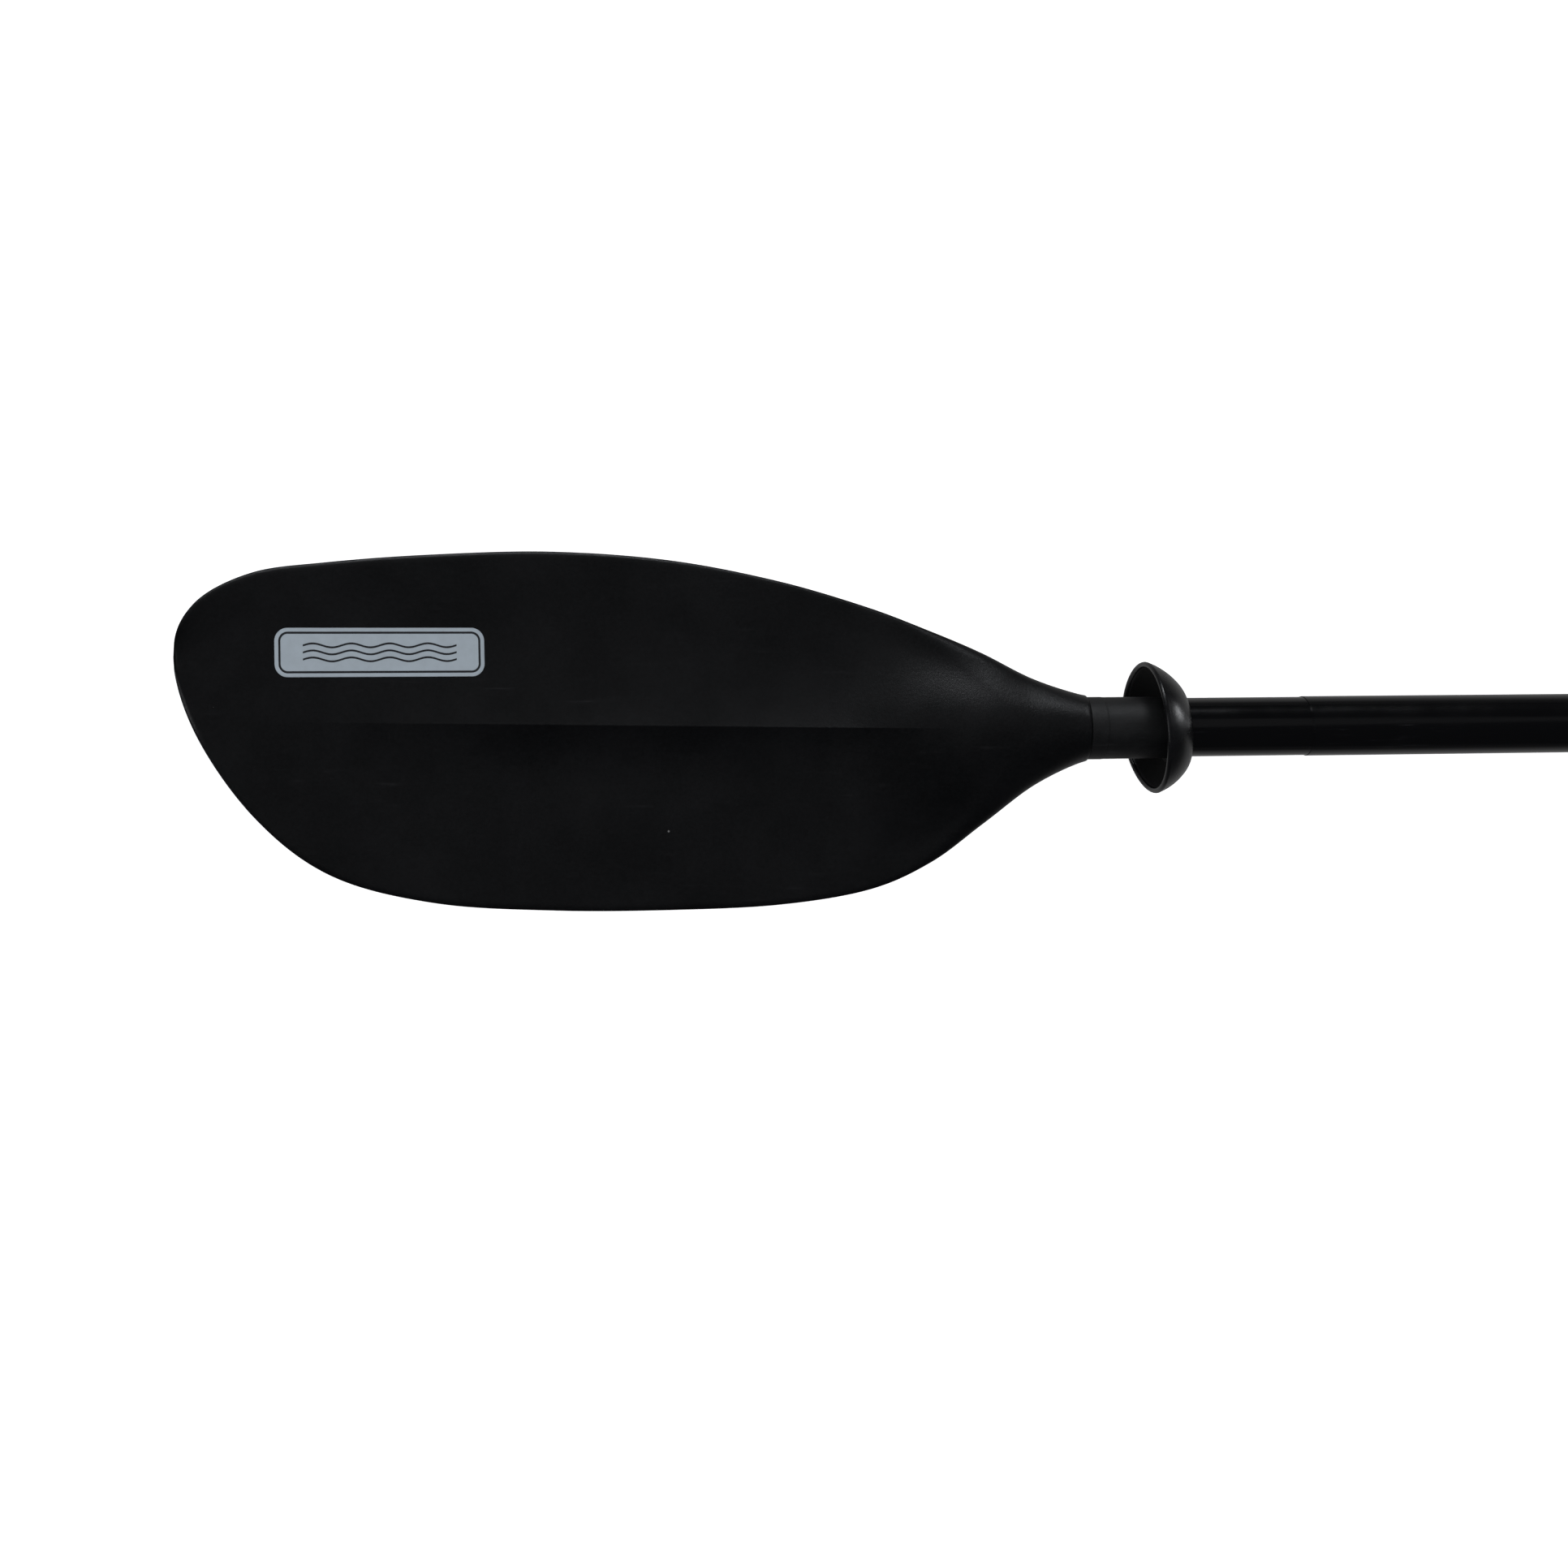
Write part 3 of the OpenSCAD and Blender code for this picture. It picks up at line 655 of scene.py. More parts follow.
def brushed_alloy():
    """Bare alloy: fine stretched noise in the colour, a fine grain in the bump, duller in patches."""
    made, tree, shader, grain, _ = worn_paint(
        "brushed_alloy", (5200.0, 700.0), 6000.0, 0.5, ((0.40, 0.41, 0.43), (0.56, 0.57, 0.59)),
        (0.70, 0.71, 0.73), (0.28, 0.48), clouds=(0.3, 0.7))
    fill(tree, shader, metallic=1.0, normal=bump_normal(tree, grain.outputs["Height"], 0.00002))
    return made


rivet_paint = brushed_alloy()
blade_rivet_x = neck_x - socket_depth / 2
rivet_points = stood_up(rivet_rings(neck_r + 0.0002, tube_r - tube_wall - 0.0015), blade_rivet_x, 180)
blade_rivet = capped_mesh("blade_rivet_head", rivet_points)
blade_rivet.data.materials.append(rivet_paint)
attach(blade_rivet, "blade_half")
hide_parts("blade_rivet")

# ---------------------------------------------------------------------------------------------
# Neck collar: a short matt shrink sleeve that covers the tube beside the neck and stops the drip guard.
# Its blade end is doubled back in a narrow hem.

collar_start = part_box("neck_collar")[0].x
collar_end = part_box("neck_collar")[1].x
collar_r, hem_r, hem_length = 0.01493, 0.01508, 0.0070


def neck_collar_mesh():
    """A sleeve whose outside falls past its hem, with soft ends; its blade end follows the mouth."""
    hem_end = collar_start + hem_length
    corners = [(collar_start, 0.01431, 0.0001), (collar_start, hem_r, 0.0003), (hem_end, hem_r, 0.0004),
               (hem_end + 0.0008, 0.01496, 0.0004), (collar_end, collar_r, 0.0003),
               (collar_end, 0.01431, 0.0001)]
    rings = turned_grid(rounded(corners).reshape(-1, 2), 96)
    rings[..., 0] -= mouth_slant(rings)
    return loop_mesh("neck_collar_sleeve", rings)


def matt_sleeve():
    """Matt shrink film: grey-black, cloudy, with a fine tooth and light rub marks."""
    made, tree, shader, grain, _ = worn_paint(
        "matt_sleeve", (2600.0, 90.0), 900.0, 0.3, ((0.0060, 0.0062, 0.0067), (0.0098, 0.0100, 0.0106)),
        (0.045, 0.045, 0.047), (0.50, 0.62), clouds=(0.35, 0.7))
    fill(tree, shader, normal=bump_normal(tree, grain.outputs["Height"], 0.00006))
    return made


neck_collar = neck_collar_mesh()
neck_collar.data.materials.append(matt_sleeve())
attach(neck_collar, "blade_half")
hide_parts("neck_collar")

# ---------------------------------------------------------------------------------------------
# Drip guard: a soft rubber cup moulded in one piece, open towards the blade, with a bead round its rim and
# a hub that grips the tube. It sits a little askew, as one pushed along by hand does.

guard_rim_x = neck_x + 0.0316
guard_end_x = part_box("drip_guard")[1].x - 0.0006
rim_past_centre = 0.0108
dome_x, dome_r, guard_wall, bead_r = guard_rim_x - rim_past_centre, 0.0337, 0.0025, 0.0013
guard_bore_r, hub_r, hub_length = tube_r + 0.00006, tube_r + 0.00306, 0.0066
bow_sides, bow_below = 0.0011, 0.0013
guard_lean = math.tan(math.radians(4.7))


def arc_points(centre, radius, start, end, count):
    """Points on a circle in the (x, r) plane, from one angle to another in degrees."""
    turn = np.radians(np.linspace(start, end, count))[:, None]
    return np.array([centre]) + radius * np.concatenate([np.cos(turn), np.sin(turn)], axis=1)


def drip_guard_mesh():
    """The guard's wall as a closed profile: bead, outer dome, flat end, bore, hub, inner dome. Carried round
    the shaft, it is sheared so that the rim, but not the hub, leans towards the blade at its upper side, and
    bowed like a saddle, as soft rims are: forward at both sides, back underneath. The attribute "inside" is
    1 in the cup and 0 on the dome and the bead; the rubber uses it for painted shade in the cup."""
    rim_r = math.sqrt(dome_r**2 - rim_past_centre**2)
    flat_r = math.sqrt(dome_r**2 - (guard_end_x - dome_x) ** 2)
    inner_r = dome_r - guard_wall
    corner_x = dome_x + math.sqrt(inner_r**2 - hub_r**2)
    hub_x = guard_end_x - hub_length
    rim_angle = math.degrees(math.atan2(rim_r, rim_past_centre))
    end_angle = math.degrees(math.atan2(flat_r, guard_end_x - dome_x))
    hub_angle = math.degrees(math.atan2(hub_r, corner_x - dome_x))
    bead = arc_points((guard_rim_x, rim_r - bead_r), bead_r, 285, 75, 15)
    outer = arc_points((dome_x, 0), dome_r, rim_angle - 2, end_angle + 5, 26)
    inner = arc_points((dome_x, 0), inner_r, hub_angle + 6, rim_angle - 4, 22)
    corners = rounded([(*outer[-1], 0.0002), (guard_end_x, flat_r, 0.0020),
                       (guard_end_x, guard_bore_r, 0.0004), (hub_x, guard_bore_r, 0.0003),
                       (hub_x, hub_r, 0.0005), (corner_x, hub_r, 0.0010), (*inner[0], 0.0002)])
    profile = np.concatenate([bead, outer, corners[1:6].reshape(-1, 2), inner])
    rings = turned_grid(profile, 160)
    away = step_up(0.0150, 0.0215, profile[:, 1])[:, None]
    across, up = rings[..., 1] / rim_r, rings[..., 2] / rim_r
    bow = bow_sides * across**2 - bow_below * np.maximum(0, -up) ** 2
    rings[..., 0] += away * (bow - rings[..., 1] * guard_lean)
    made = loop_mesh("drip_guard_cup", rings)
    inside = np.zeros(len(profile))
    inside[len(bead) + len(outer) + 2 * corners.shape[1]:] = 1
    layer = made.data.attributes.new("inside", "FLOAT", "POINT")
    layer.data.foreach_set("value", np.repeat(inside, 160))
    return made


def guard_rubber():
    """Soft black rubber with a faint bloom in patches, a fine grain, dust on its dome and a dull inside,
    whose near-black colour is painted shade in the cup.
    """
    made, tree, shader = new_material("guard_rubber")
    place = object_coordinates(tree)
    grain = place_group(tree, mould_grain, place, grain_scale=1700.0, cloud_scale=60.0)
    specks = place_group(tree, dust, place, speck_scale=620.0, amount=0.10)
    inside = new_node(tree, "Attribute")
    inside.attribute_name = "inside"
    bloom = mix_colour(tree, ramp(tree, grain.outputs["Tone"], 0.42, 0.72),
                       (0.0046, 0.0047, 0.0054), (0.0105, 0.0108, 0.0122))
    dusty = mix_colour(tree, specks.outputs["Mask"], bloom, (0.20, 0.20, 0.20))
    polish = ramp(tree, grain.outputs["Tone"], 0.3, 0.7, 0.22, 0.32)
    duller = math_node(tree, "ADD", polish, math_node(tree, "MULTIPLY", inside.outputs["Fac"], 0.6))
    # Inside the cup the colour goes near black and loses its dust: painted shade for the cup's hollow, not
    # another rubber.
    fill(tree, shader, base_color=mix_colour(tree, inside.outputs["Fac"], dusty, (0.0010, 0.0010, 0.0012)),
         roughness=math_node(tree, "MINIMUM", duller, 0.9),
         normal=bump_normal(tree, grain.outputs["Height"], 0.00005))
    return made


drip_guard = drip_guard_mesh()
drip_guard.data.materials.append(guard_rubber())
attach(drip_guard, "guard")
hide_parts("drip_guard")

# ---------------------------------------------------------------------------------------------
# Lower shaft: the alloy tube between the blade and the joint, anodised black and lacquered, with a foam
# plug in its blade end that keeps water out.

joint_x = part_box("lower_shaft")[1].x
bore_r = tube_r - tube_wall


def tube_corners(start, end, outer, inner, edge):
    """The four corners of a tube's wall, for rounded(): along the outside, then back along the bore."""
    return [(start, inner, edge), (start, outer, edge), (end, outer, edge), (end, inner, edge)]


def tube_mesh(name, start, end, outer, inner, edge):
    """A tube with softened ends, as its rounded wall carried round the shaft."""
    profile = rounded(tube_corners(start, end, outer, inner, edge)).reshape(-1, 2)
    return loop_mesh(name, turned_grid(profile, 128))


def lacquered_black():
    """Black anodised tube under clear lacquer: near-black, fine draw lines along it, a few rubbed marks."""
    made, tree, shader, _, marks = worn_paint("lacquered_black", (900.0, 40.0), 1300.0, 0.30,
                                              (0.0025, 0.0026, 0.0032), (0.020, 0.020, 0.023), (0.10, 0.17))
    fill(tree, shader, normal=bump_normal(tree, marks.outputs["Mask"], 0.000004))
    return made


def plain_foam():
    """Grey closed-cell foam: Voronoi cells as dimples and as a slight change of tone."""
    made, tree, shader = new_material("plain_foam")
    cell = new_node(tree, "TexVoronoi", vector=object_coordinates(tree), scale=1100.0).outputs["Distance"]
    fill(tree, shader, base_color=mix_colour(tree, cell, (0.06, 0.063, 0.067), (0.13, 0.135, 0.14)),
         roughness=0.9, normal=bump_normal(tree, cell, 0.0002))
    return made


def plug_mesh(name, start, end):
    """A foam plug: a disc with soft edges and slightly crowned faces, turned about the shaft."""
    plug_r = bore_r - 0.0002
    side = rounded([(start, 0, 0.0001), (start, plug_r, 0.0008), (end, plug_r, 0.0008), (end, 0, 0.0001)])
    crown = np.array([0.3, 0.7, 0.93])[:, None]
    face = np.concatenate([0.0006 * (1 - crown**2), (plug_r - 0.0010) * crown], axis=1)
    first, last = face * (-1, 1) + (start, 0), face[::-1] + (end, 0)
    profile = np.concatenate([first, side[1:3].reshape(-1, 2), last])
    return capped_mesh(name, turned_grid(profile, 64))


tube_paint = lacquered_black()
lower_shaft = tube_mesh("lower_tube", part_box("lower_shaft")[0].x, joint_x, tube_r, bore_r, 0.0003)
lower_shaft.data.materials.append(tube_paint)
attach(lower_shaft, "blade_half")
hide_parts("lower_shaft")

foam_paint = plain_foam()
for node, body in (("lower_foam_plug", "blade_half"), ("upper_foam_plug", "grip_half")):
    plug = plug_mesh(node + "_foam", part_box(node)[0].x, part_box(node)[1].x)
    plug.data.materials.append(foam_paint)
    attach(plug, body)
    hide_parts(node)

# ---------------------------------------------------------------------------------------------
# Grip sleeve: a thin gloss sleeve shrunk over the middle of the lower tube, cut by hand at its blade end.

sleeve_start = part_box("grip_sleeve")[0].x
sleeve_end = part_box("grip_sleeve")[1].x
sleeve_r = tube_r + 0.0003


def grip_sleeve_mesh():
    """A sleeve with rounded lips; its blade end slants by up to 2 mm, more towards the lower side."""
    corners = tube_corners(sleeve_start, sleeve_end, sleeve_r, tube_r + 0.00001, 0.00013)
    rings = turned_grid(rounded(corners).reshape(-1, 2), 128)
    near = np.maximum(0, 1 - (rings[..., 0] - sleeve_start) / 0.010)
    rings[..., 0] += near * 0.001 * (1 - rings[..., 1] / sleeve_r)
    return loop_mesh("grip_sleeve_film", rings)


def gloss_film():
    """Gloss shrink film: near-black, with slow waves from shrinking in its bump and light rub marks."""
    made, tree, shader, grain, _ = worn_paint("gloss_film", (260.0, 45.0), 1000.0, 0.30,
                                              (0.0026, 0.0027, 0.0033), (0.022, 0.022, 0.025), (0.13, 0.22))
    fill(tree, shader, normal=bump_normal(tree, grain.outputs["Height"], 0.00002))
    return made


grip_sleeve = grip_sleeve_mesh()
grip_sleeve.data.materials.append(gloss_film())
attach(grip_sleeve, "blade_half")
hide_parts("grip_sleeve")

# ---------------------------------------------------------------------------------------------
# Joint insert: a glass-filled nylon sleeve, riveted into the lower tube with its flange against the tube's
# end. Its free end takes the upper tube, an O-ring sits in its groove, and a plug closes it.

insert_start, insert_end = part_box("ferrule_insert")[0].x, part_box("ferrule_insert")[1].x
insert_r = bore_r - 0.00005
insert_bore_r = insert_r - 0.00255
flange_end = joint_x + 0.003
button_x = flange_end + 0.027
button_hole_r = 0.0042
seal_x, seal_cord_r = flange_end + 0.0063, 0.00075
groove_half, groove_depth = 0.0010, 0.0013
insert_in_tube = 0.070


def hole_rows(hole_x, hole_r):
    """Seven evenly spaced rows on each side of a hole's middle, out to three times its radius."""
    return hole_x + np.linspace(-3, 3, 25) * hole_r


def pierced_mesh(name, outside, inside, hole_x, hole_r, segments=144):
    """A turned wall with one round hole out of its +Z side. Both skins are grids; round the hole, a block of
    8 by 8 cells is laid on circles that blend back to the grid three hole radii out, by a smooth step of the
    larger of the two cell distances. The block's faces go, and three rows line the hole between the skins."""
    outside, inside = np.asarray(outside), np.asarray(inside)
    cell = 2 * hole_r / 8
    turn = np.linspace(0, 2 * np.pi, segments, endpoint=False)
    top = segments // 4

    def skin(profile, radius_gain):
        rings = turned_grid(profile, segments)
        near = np.where(np.abs(profile[:, 0] - hole_x) < 3.01 * hole_r)[0]
        middle = near[len(near) // 2]
        i, j = np.meshgrid(np.arange(-12, 13), np.arange(-12, 13), indexing="ij")
        rho = np.maximum(np.abs(i), np.abs(j)) / 4
        angle = np.arctan2(j, i)
        blend = step_up(1, 3, rho)
        r = profile[middle, 1]
        spread = (hole_r + radius_gain) * np.maximum(rho, 0.01)
        grid_x, grid_y = i * cell, -r * np.sin(turn[top + j] - np.pi / 2)
        x = (1 - blend) * spread * np.cos(angle) + blend * grid_x
        y = (1 - blend) * -spread * np.sin(angle) + blend * grid_y
        patch = np.stack([hole_x + x, y, np.sqrt(np.maximum(r**2 - y**2, 0))], axis=-1)
        rings[middle - 12:middle + 13, top - 12:top + 13] = patch
        return rings, middle

    outer, outer_middle = skin(outside, 0.0002)
    inner, inner_middle = skin(inside, 0.0001)
    rings = np.concatenate([outer, inner])
    rows, cols = rings.shape[:2]
    quads = grid_faces(rows + 1, cols, True)
    row, col = quads[:, 0] // cols + 0.5, quads[:, 0] % cols + 0.5
    inner_row = len(outside) + inner_middle
    in_rows = (np.abs(row - outer_middle) < 4) | (np.abs(row - inner_row) < 4)
    quads = quads[~(in_rows & (np.abs(col - top) < 4))] % (rows * cols)
    walk = np.arange(-4, 4)
    i = np.concatenate([np.full(8, -4), walk, np.full(8, 4), walk[::-1] + 1])
    j = np.concatenate([walk, np.full(8, 4), walk[::-1] + 1, np.full(8, -4)])
    upper = (outer_middle + i) * cols + top + j
    lower = (inner_row - i) * cols + top + j
    points = rings.reshape(-1, 3)
    axis_point = np.array([hole_x, 0, 0])
    away = (points[upper] - axis_point) * (1, 1, 0)
    away /= np.linalg.norm(away, axis=1, keepdims=True)
    rim_high, rim_low = points[upper][:, 2:] * (0, 0, 1), points[lower][:, 2:] * (0, 0, 1)
    lining = [axis_point + away * (hole_r + 0.00006) + rim_high - (0, 0, 0.00006),
              axis_point + away * hole_r + rim_high - (0, 0, 0.0002),
              axis_point + away * hole_r + rim_low + (0, 0, 0.0001)]
    start = len(points)
    chain = np.stack([upper, *(start + k * 32 + np.arange(32) for k in range(3)), lower])
    after = np.roll(chain, -1, axis=1)
    wall = np.stack([chain[:-1], after[:-1], after[1:], chain[1:]], axis=-1).reshape(-1, 4)
    return make_mesh(name, np.concatenate([points, *lining]), np.concatenate([quads, wall]))


def along(rows, r):
    """Rows of a straight stretch at one radius."""
    return np.stack([rows, np.full(len(rows), r)], axis=1)


def insert_mesh():
    """Outside: lead-in, groove, flange and sleeve; inside: a straight bore."""
    rows = hole_rows(button_x, button_hole_r)
    groove_start, groove_end, groove_r = seal_x - groove_half, seal_x + groove_half, insert_r - groove_depth
    groove = [(groove_start, insert_r, 0.0001), (groove_start, groove_r, 0.0002),
              (groove_end, groove_r, 0.0002), (groove_end, insert_r, 0.0001)]
    first = [(insert_start, insert_bore_r, 0.0003), (insert_start, insert_r, 0.0005),
             (joint_x, insert_r, 0.0003), (joint_x, tube_r, 0.0003),
             (flange_end, tube_r, 0.0005), (flange_end, insert_r, 0.0005)]
    before = rounded([*first, *groove]).reshape(-1, 2)[8:]
    after = rounded([(insert_end, insert_r, 0.0003), (insert_end, insert_bore_r, 0.0002),
                     (insert_start, insert_bore_r, 0.0003)]).reshape(-1, 2)[:16]
    start = rounded([(insert_end, insert_bore_r, 0.0002), (insert_start, insert_bore_r, 0.0003),
                     (insert_start, insert_r, 0.0005)]).reshape(-1, 2)[8:16]
    outside = np.concatenate([before, along(rows, insert_r), after[:8]])
    inside = np.concatenate([after[8:16], along(rows[::-1], insert_bore_r), start])
    return pierced_mesh("joint_insert", outside, inside, button_x, button_hole_r)


def filled_nylon():
    """Glass-filled nylon: satin, with short pale fibre streaks under the skin and a fine moulded tooth."""
    made, tree, shader, grain, _ = worn_paint(
        "filled_nylon", (2100.0, 130.0), 2600.0, 0.8, ((0.0105, 0.0108, 0.0118), (0.0175, 0.0180, 0.0195)),
        (0.050, 0.051, 0.054), (0.36, 0.50), clouds=(0.35, 0.68))
    fill(tree, shader, normal=bump_normal(tree, grain.outputs["Height"], 0.00005))
    return made


nylon_paint = filled_nylon()
ferrule_insert = insert_mesh()
ferrule_insert.data.materials.append(nylon_paint)
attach(ferrule_insert, "blade_half")
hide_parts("ferrule_insert")


def cap_mesh():
    """The insert's plug: a spigot in the bore, a flange against the end and a chamfer that leads in."""
    spigot_r, flange_r, outer_x = insert_bore_r - 0.00005, insert_r - 0.0001, insert_end + 0.0025
    corners = [(insert_end - 0.005, 0.0004, 0.0001), (insert_end - 0.005, spigot_r, 0.0004),
               (insert_end, spigot_r, 0.0001), (insert_end, flange_r, 0.0002),
               (insert_end + 0.0010, flange_r, 0.0003), (outer_x, flange_r - 0.0015, 0.0003),
               (outer_x, 0.0050, 0.0005), (outer_x - 0.0010, 0.0042, 0.0004),
               (outer_x - 0.0010, 0.0004, 0.0001)]
    return capped_mesh("insert_plug", turned_grid(rounded(corners)[1:-1].reshape(-1, 2), 72))


insert_cap = cap_mesh()
insert_cap.data.materials.append(nylon_paint)
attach(insert_cap, "blade_half")
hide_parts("insert_cap")

ferrule_rivet_x = joint_x - insert_in_tube / 3
for side, turned in (("upper", 90), ("lower", -90)):
    points = stood_up(rivet_rings(tube_r + 0.0002, insert_bore_r - 0.0015), ferrule_rivet_x, turned)
    rivet = capped_mesh("ferrule_rivet_" + side, points)
    rivet.data.materials.append(rivet_paint)
    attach(rivet, "blade_half")
    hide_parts("ferrule_rivets")


def seal_rubber():
    """Nitrile O-ring rubber, brown-black, with a greased sheen that varies round it."""
    made, tree, shader = new_material("seal_rubber")
    grain = place_group(tree, mould_grain, object_coordinates(tree), grain_scale=3000.0, cloud_scale=200.0)
    tone = mix_colour(tree, grain.outputs["Tone"], (0.016, 0.010, 0.008), (0.034, 0.023, 0.018))
    fill(tree, shader, base_color=tone, roughness=ramp(tree, grain.outputs["Tone"], 0.3, 0.7, 0.22, 0.42),
         normal=bump_normal(tree, grain.outputs["Height"], 0.00002))
    return made


cord = arc_points((seal_x, insert_r + 0.00002 - seal_cord_r), seal_cord_r, 360, 15, 24)
seal = loop_mesh("joint_seal", turned_grid(cord, 96))
seal.data.materials.append(seal_rubber())
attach(seal, "blade_half")
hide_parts("ferrule_seal")

# ---------------------------------------------------------------------------------------------
# Snap button: a stainless button on a hairpin of spring strip that sits inside the insert. The button
# stands out of the collar's hole and locks the two halves; the hairpin closes as it is pressed.

button_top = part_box("snap_button")[1].z
button_r, strip_half_t, strip_half_w = 0.004, 0.0004, 0.0045
strip_z = math.sqrt(insert_bore_r**2 - strip_half_w**2) - 0.00025 - strip_half_t


def button_mesh():
    """A button as a turned profile stood on +Z: a straight shank, a rounded shoulder and a shallow dome."""
    crown = np.linspace(1, 0.12, 9)[:, None]
    dome = np.concatenate([button_top - 0.0011 * crown**2, (button_r - 0.0006) * crown], axis=1)
    shank = [(strip_z, 0.0006), (strip_z, button_r - 0.0003), (strip_z + 0.0003, button_r),
             (button_top - 0.0021, button_r), (button_top - 0.0017, button_r - 0.00005),
             (button_top - 0.00135, button_r - 0.00025)]
    upright = turned_grid(np.concatenate([shank, dome]), 64)
    return capped_mesh("snap_button_head", stood_up(upright, button_x, 0))


def flattened(wave, power):
    """A cosine or sine whose size is raised to a power, with its sign kept: a superellipse's coordinate."""
    return np.sign(wave) * np.abs(wave) ** power


def strip_mesh():
    """The hairpin: its middle line runs along the top, round the bend and back along the bottom; a rounded
    rectangle, given by angle as a superellipse of power 6, is carried along it."""
    bend_r, bend_x, slope_x = 0.0052, button_x - 0.034, button_x - 0.016
    far_x = button_x + button_r + 0.0018
    leg_x = np.concatenate([np.linspace(far_x, slope_x, 14), np.linspace(slope_x, bend_x, 10)[1:]])
    leg_z = np.interp(leg_x, (bend_x, slope_x), (bend_r, strip_z))
    around = np.radians(np.linspace(90, 270, 22))[1:-1]
    x = np.concatenate([leg_x, bend_x + bend_r * np.cos(around), leg_x[::-1]])
    z = np.concatenate([leg_z, bend_r * np.sin(around), -leg_z[::-1]])
    step = np.stack([np.gradient(x), np.gradient(z)], axis=1)
    step /= np.linalg.norm(step, axis=1, keepdims=True)
    turn = np.linspace(0, 2 * np.pi, 24, endpoint=False)
    wide = flattened(np.cos(turn), 1 / 3) * strip_half_w
    thick = flattened(np.sin(turn), 1 / 3) * strip_half_t
    points = np.stack([x[:, None] - thick * step[:, 1:], np.broadcast_to(wide, (len(x), 24)),
                       z[:, None] + thick * step[:, :1]], axis=-1)
    return capped_mesh("button_spring", points)


button_head = button_mesh()
button_head.data.materials.append(rivet_paint)
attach(button_head, "button")
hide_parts("snap_button")

button_spring = strip_mesh()
button_spring.data.materials.append(rivet_paint)
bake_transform(button_spring)
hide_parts("snap_button")

# ---------------------------------------------------------------------------------------------
# Upper shaft and its joint collar: the same tube as below, with a hole for the button, and a nylon collar
# bonded over its end that tapers down to the tube.

upper_start, upper_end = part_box("upper_shaft")[0].x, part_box("upper_shaft")[1].x
collar_end_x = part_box("joint_collar")[1].x
joint_collar_r = tube_r + 0.0019


def straight_pierced(name, start, end, outer, inner, edge):
    """A straight tube with the button's hole."""
    corners = rounded(tube_corners(start, end, outer, inner, edge))
    rows = hole_rows(button_x, button_hole_r)
    outside = np.concatenate([corners[1], along(rows, outer), corners[2]])
    inside = np.concatenate([corners[3], along(rows[::-1], inner), corners[0]])
    return pierced_mesh(name, outside, inside, button_x, button_hole_r)


def joint_collar_mesh():
    """The collar's outside: a rounded front edge, a straight stretch round the hole, then a soft taper."""
    rows = hole_rows(button_x, button_hole_r)
    front = rounded([(upper_start, tube_r + 0.00001, 0.0002), (upper_start, joint_collar_r, 0.0007),
                     (rows[0], joint_collar_r, 0.0001)])
    back = rounded([(rows[-1], joint_collar_r, 0.0001), (collar_end_x - 0.0068, joint_collar_r, 0.0012),
                    (collar_end_x, tube_r + 0.0005, 0.0003), (collar_end_x, tube_r + 0.00001, 0.0001)])
    outside = np.concatenate([front[1], along(rows, joint_collar_r), back[1], back[2]])
    inside = np.concatenate([back[3], along(rows[::-1], tube_r + 0.00001), front[0]])
    return pierced_mesh("joint_collar_moulding", outside, inside, button_x, button_hole_r)


upper_shaft = straight_pierced("upper_tube", upper_start, upper_end, tube_r, bore_r, 0.0003)
upper_shaft.data.materials.append(tube_paint)
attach(upper_shaft, "grip_half")
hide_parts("upper_shaft")

joint_collar = joint_collar_mesh()
joint_collar.data.materials.append(nylon_paint)
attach(joint_collar, "grip_half")
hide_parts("joint_collar")

# ---------------------------------------------------------------------------------------------
# T grip: one moulding whose stem takes the upper tube and swells into a palm bar. A blind rivet through the
# back of the stem fixes it.

stem_start, grip_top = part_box("t_grip")[0].x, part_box("t_grip")[1].x
stem_r, bar_r = tube_r + 0.00265, 0.013
bar_x, swell_x = grip_top - bar_r, grip_top - bar_r - 0.030
grip_half_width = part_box("t_grip")[1].y


def resampled(polyline, stops, counts):
    """Points along a polyline at even steps between chosen corners, so that two outlines keep pace. The stops
    are numbers of points of the polyline, but the last, which is a share of its length."""
    run = run_along(polyline)
    shares = [*(run[stops[:-1]] / run[-1]), stops[-1]]
    spots = np.concatenate([np.linspace(start, end, count, endpoint=False)
                            for start, end, count in zip(shares, shares[1:], counts)])
    return np.stack([np.interp(spots * run[-1], run, polyline[:, k]) for k in range(2)], axis=1)


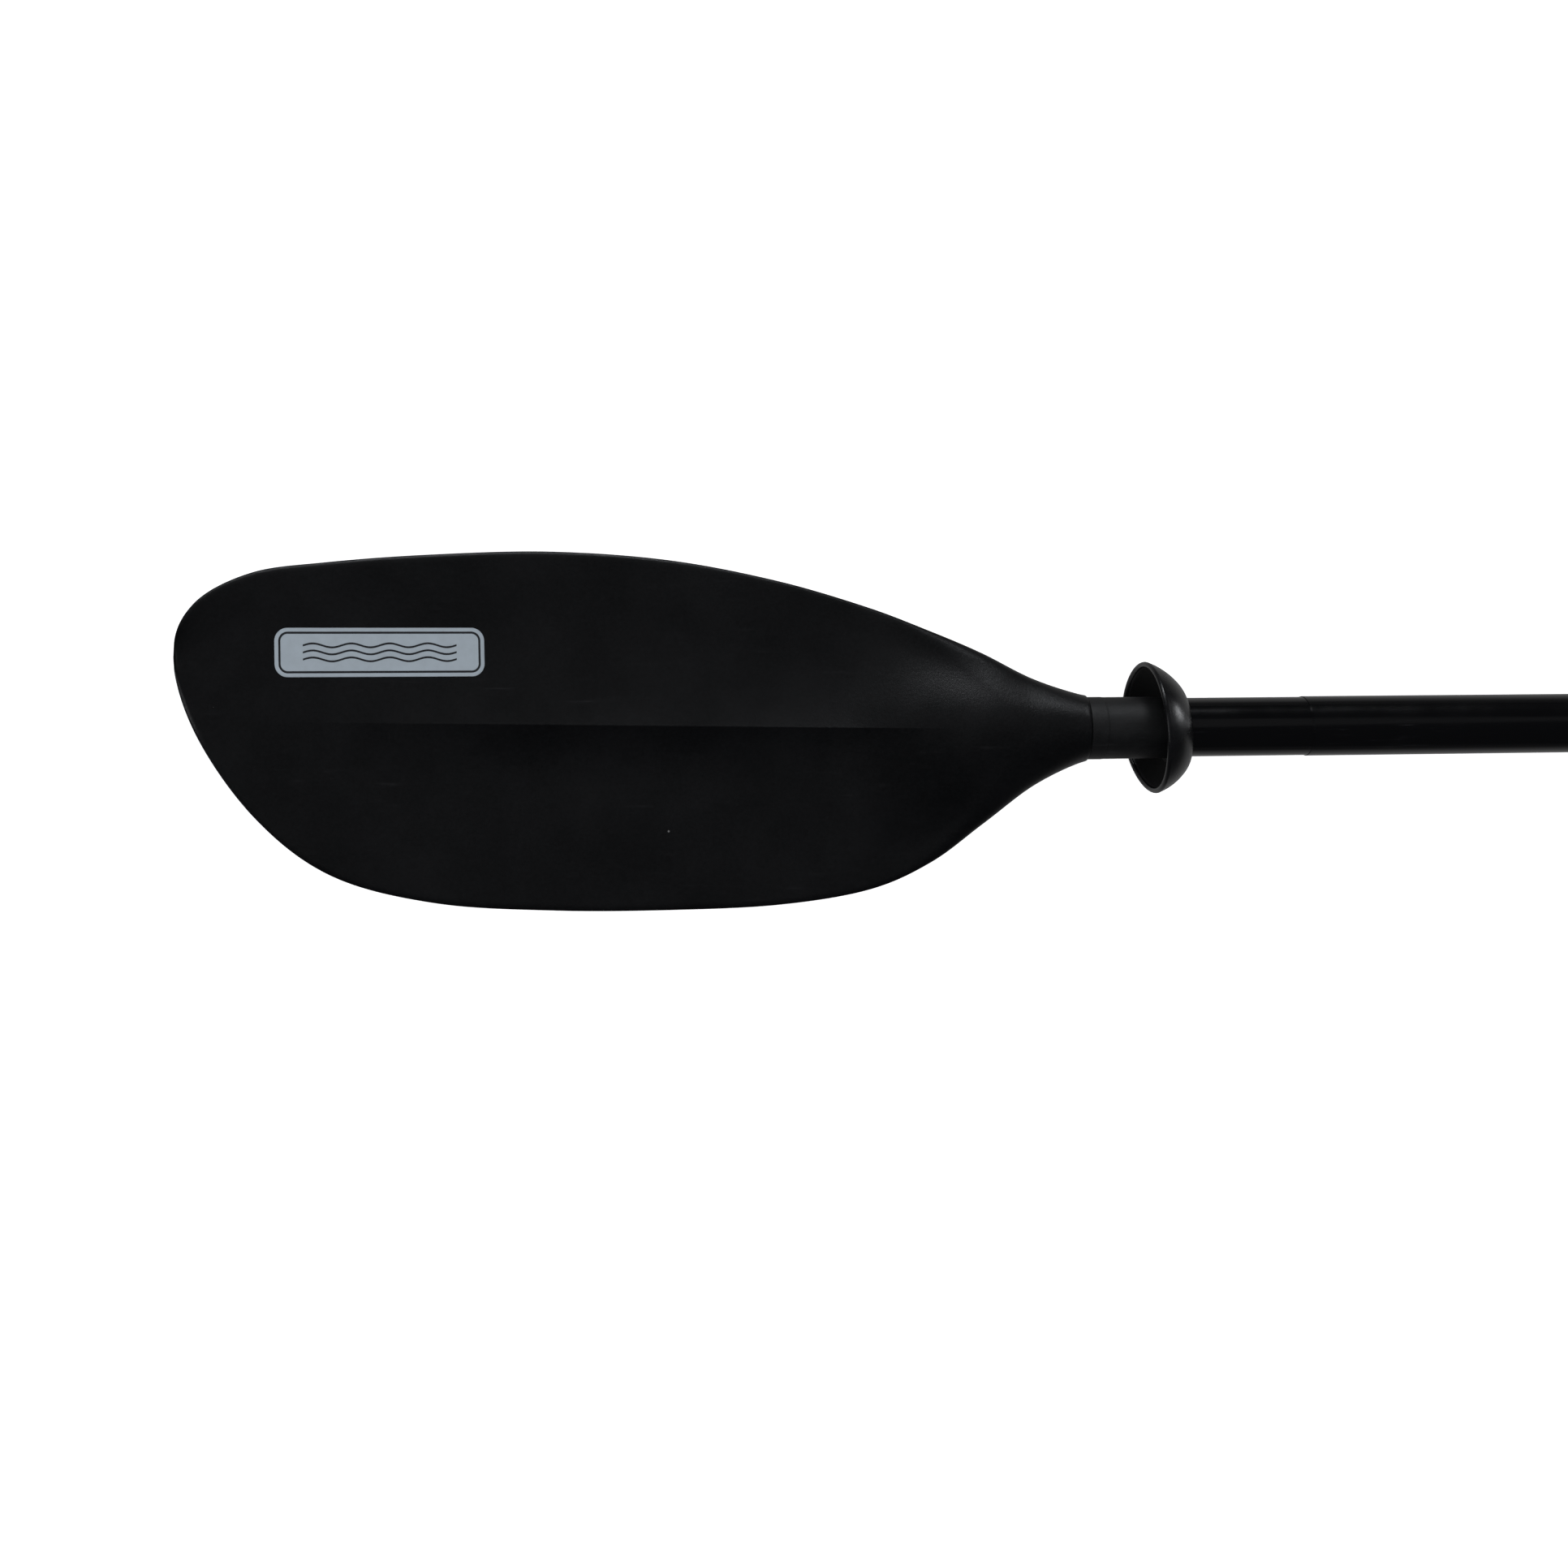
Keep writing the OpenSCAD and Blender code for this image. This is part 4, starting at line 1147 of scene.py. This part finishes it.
def t_grip_mesh():
    """Each row is a superellipse across the shaft. Its half width follows the grip's plan outline, its half
    height the side outline, and x is blended between the two outlines by the cosine squared of the turn."""
    stem = [(stem_start, 0.010, 0.0001), (stem_start, stem_r, 0.0008), (swell_x, stem_r, 0.008)]
    plan = rounded([*stem, (bar_x - 0.0130, 0.0245, 0.011), (bar_x - 0.0155, grip_half_width, 0.0100),
                    (bar_x + 0.0068, grip_half_width, 0.0112), (grip_top, 0.016, 0.0080),
                    (grip_top, 0, 0.0001)], steps=12)[1:-1].reshape(-1, 2)
    side = rounded([*stem, (bar_x - 0.010, bar_r + 0.0004, 0.009), (grip_top, bar_r - 0.0004, 0.0125),
                    (grip_top, 0, 0.0001)], steps=12)[1:-1].reshape(-1, 2)
    counts = (40, 34, 24, 30)
    plan = resampled(plan, [0, 20, 52, 67, 0.985], counts)
    side = resampled(side, [0, 20, 44, 52, 0.97], counts)
    turn = np.linspace(0, 2 * np.pi, 120, endpoint=False)[None, :]
    power = 2 / (2 + 0.9 * step_up(0, 0.018, side[:, :1] - (bar_x - 0.026)))
    cosine, sine = np.cos(turn), np.sin(turn)
    x = plan[:, :1] * cosine**2 + side[:, :1] * sine**2
    wide, high = plan[:, 1:] * flattened(cosine, power), side[:, 1:] * flattened(sine, power)
    outer = np.stack([x, wide, high], axis=-1)
    bore_wall_r = tube_r + 0.00005
    bore = np.array([(upper_end, 0.004), (upper_end, bore_wall_r), (stem_start + 0.0005, bore_wall_r),
                     (stem_start, tube_r + 0.0005), (stem_start, stem_r - 0.0008)])
    return capped_mesh("t_grip_moulding", np.concatenate([turned_grid(bore, 120), outer[1:]]))


def grip_plastic():
    """Moulded grip plastic: soft grain, a faint mould line round its middle, and a sheen from use."""
    made, tree, shader, grain, _ = worn_paint(
        "grip_plastic", (1500.0, 45.0), 500.0, 0.3, ((0.0070, 0.0072, 0.0080), (0.0125, 0.0128, 0.0140)),
        (0.035, 0.035, 0.038), (0.36, 0.54), clouds=(0.35, 0.68))
    place = new_node(tree, "SeparateXYZ", vector=object_coordinates(tree))
    line = ramp(tree, math_node(tree, "ABSOLUTE", place.outputs["Z"]), 0.00010, 0.00028, 1.0, 0.0)
    height = math_node(tree, "ADD", grain.outputs["Height"], math_node(tree, "MULTIPLY", line, 1.2))
    fill(tree, shader, normal=bump_normal(tree, height, 0.00010))
    return made


t_grip = t_grip_mesh()
t_grip.data.materials.append(grip_plastic())
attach(t_grip, "grip_half")
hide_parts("t_grip")

grip_rivet_x = (stem_start + upper_end) / 2
grip_rivet_points = stood_up(rivet_rings(stem_r + 0.0002, bore_r - 0.0015), grip_rivet_x, 180)
t_grip_rivet = capped_mesh("t_grip_rivet_head", grip_rivet_points)
t_grip_rivet.data.materials.append(rivet_paint)
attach(t_grip_rivet, "grip_half")
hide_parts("t_grip_rivet")
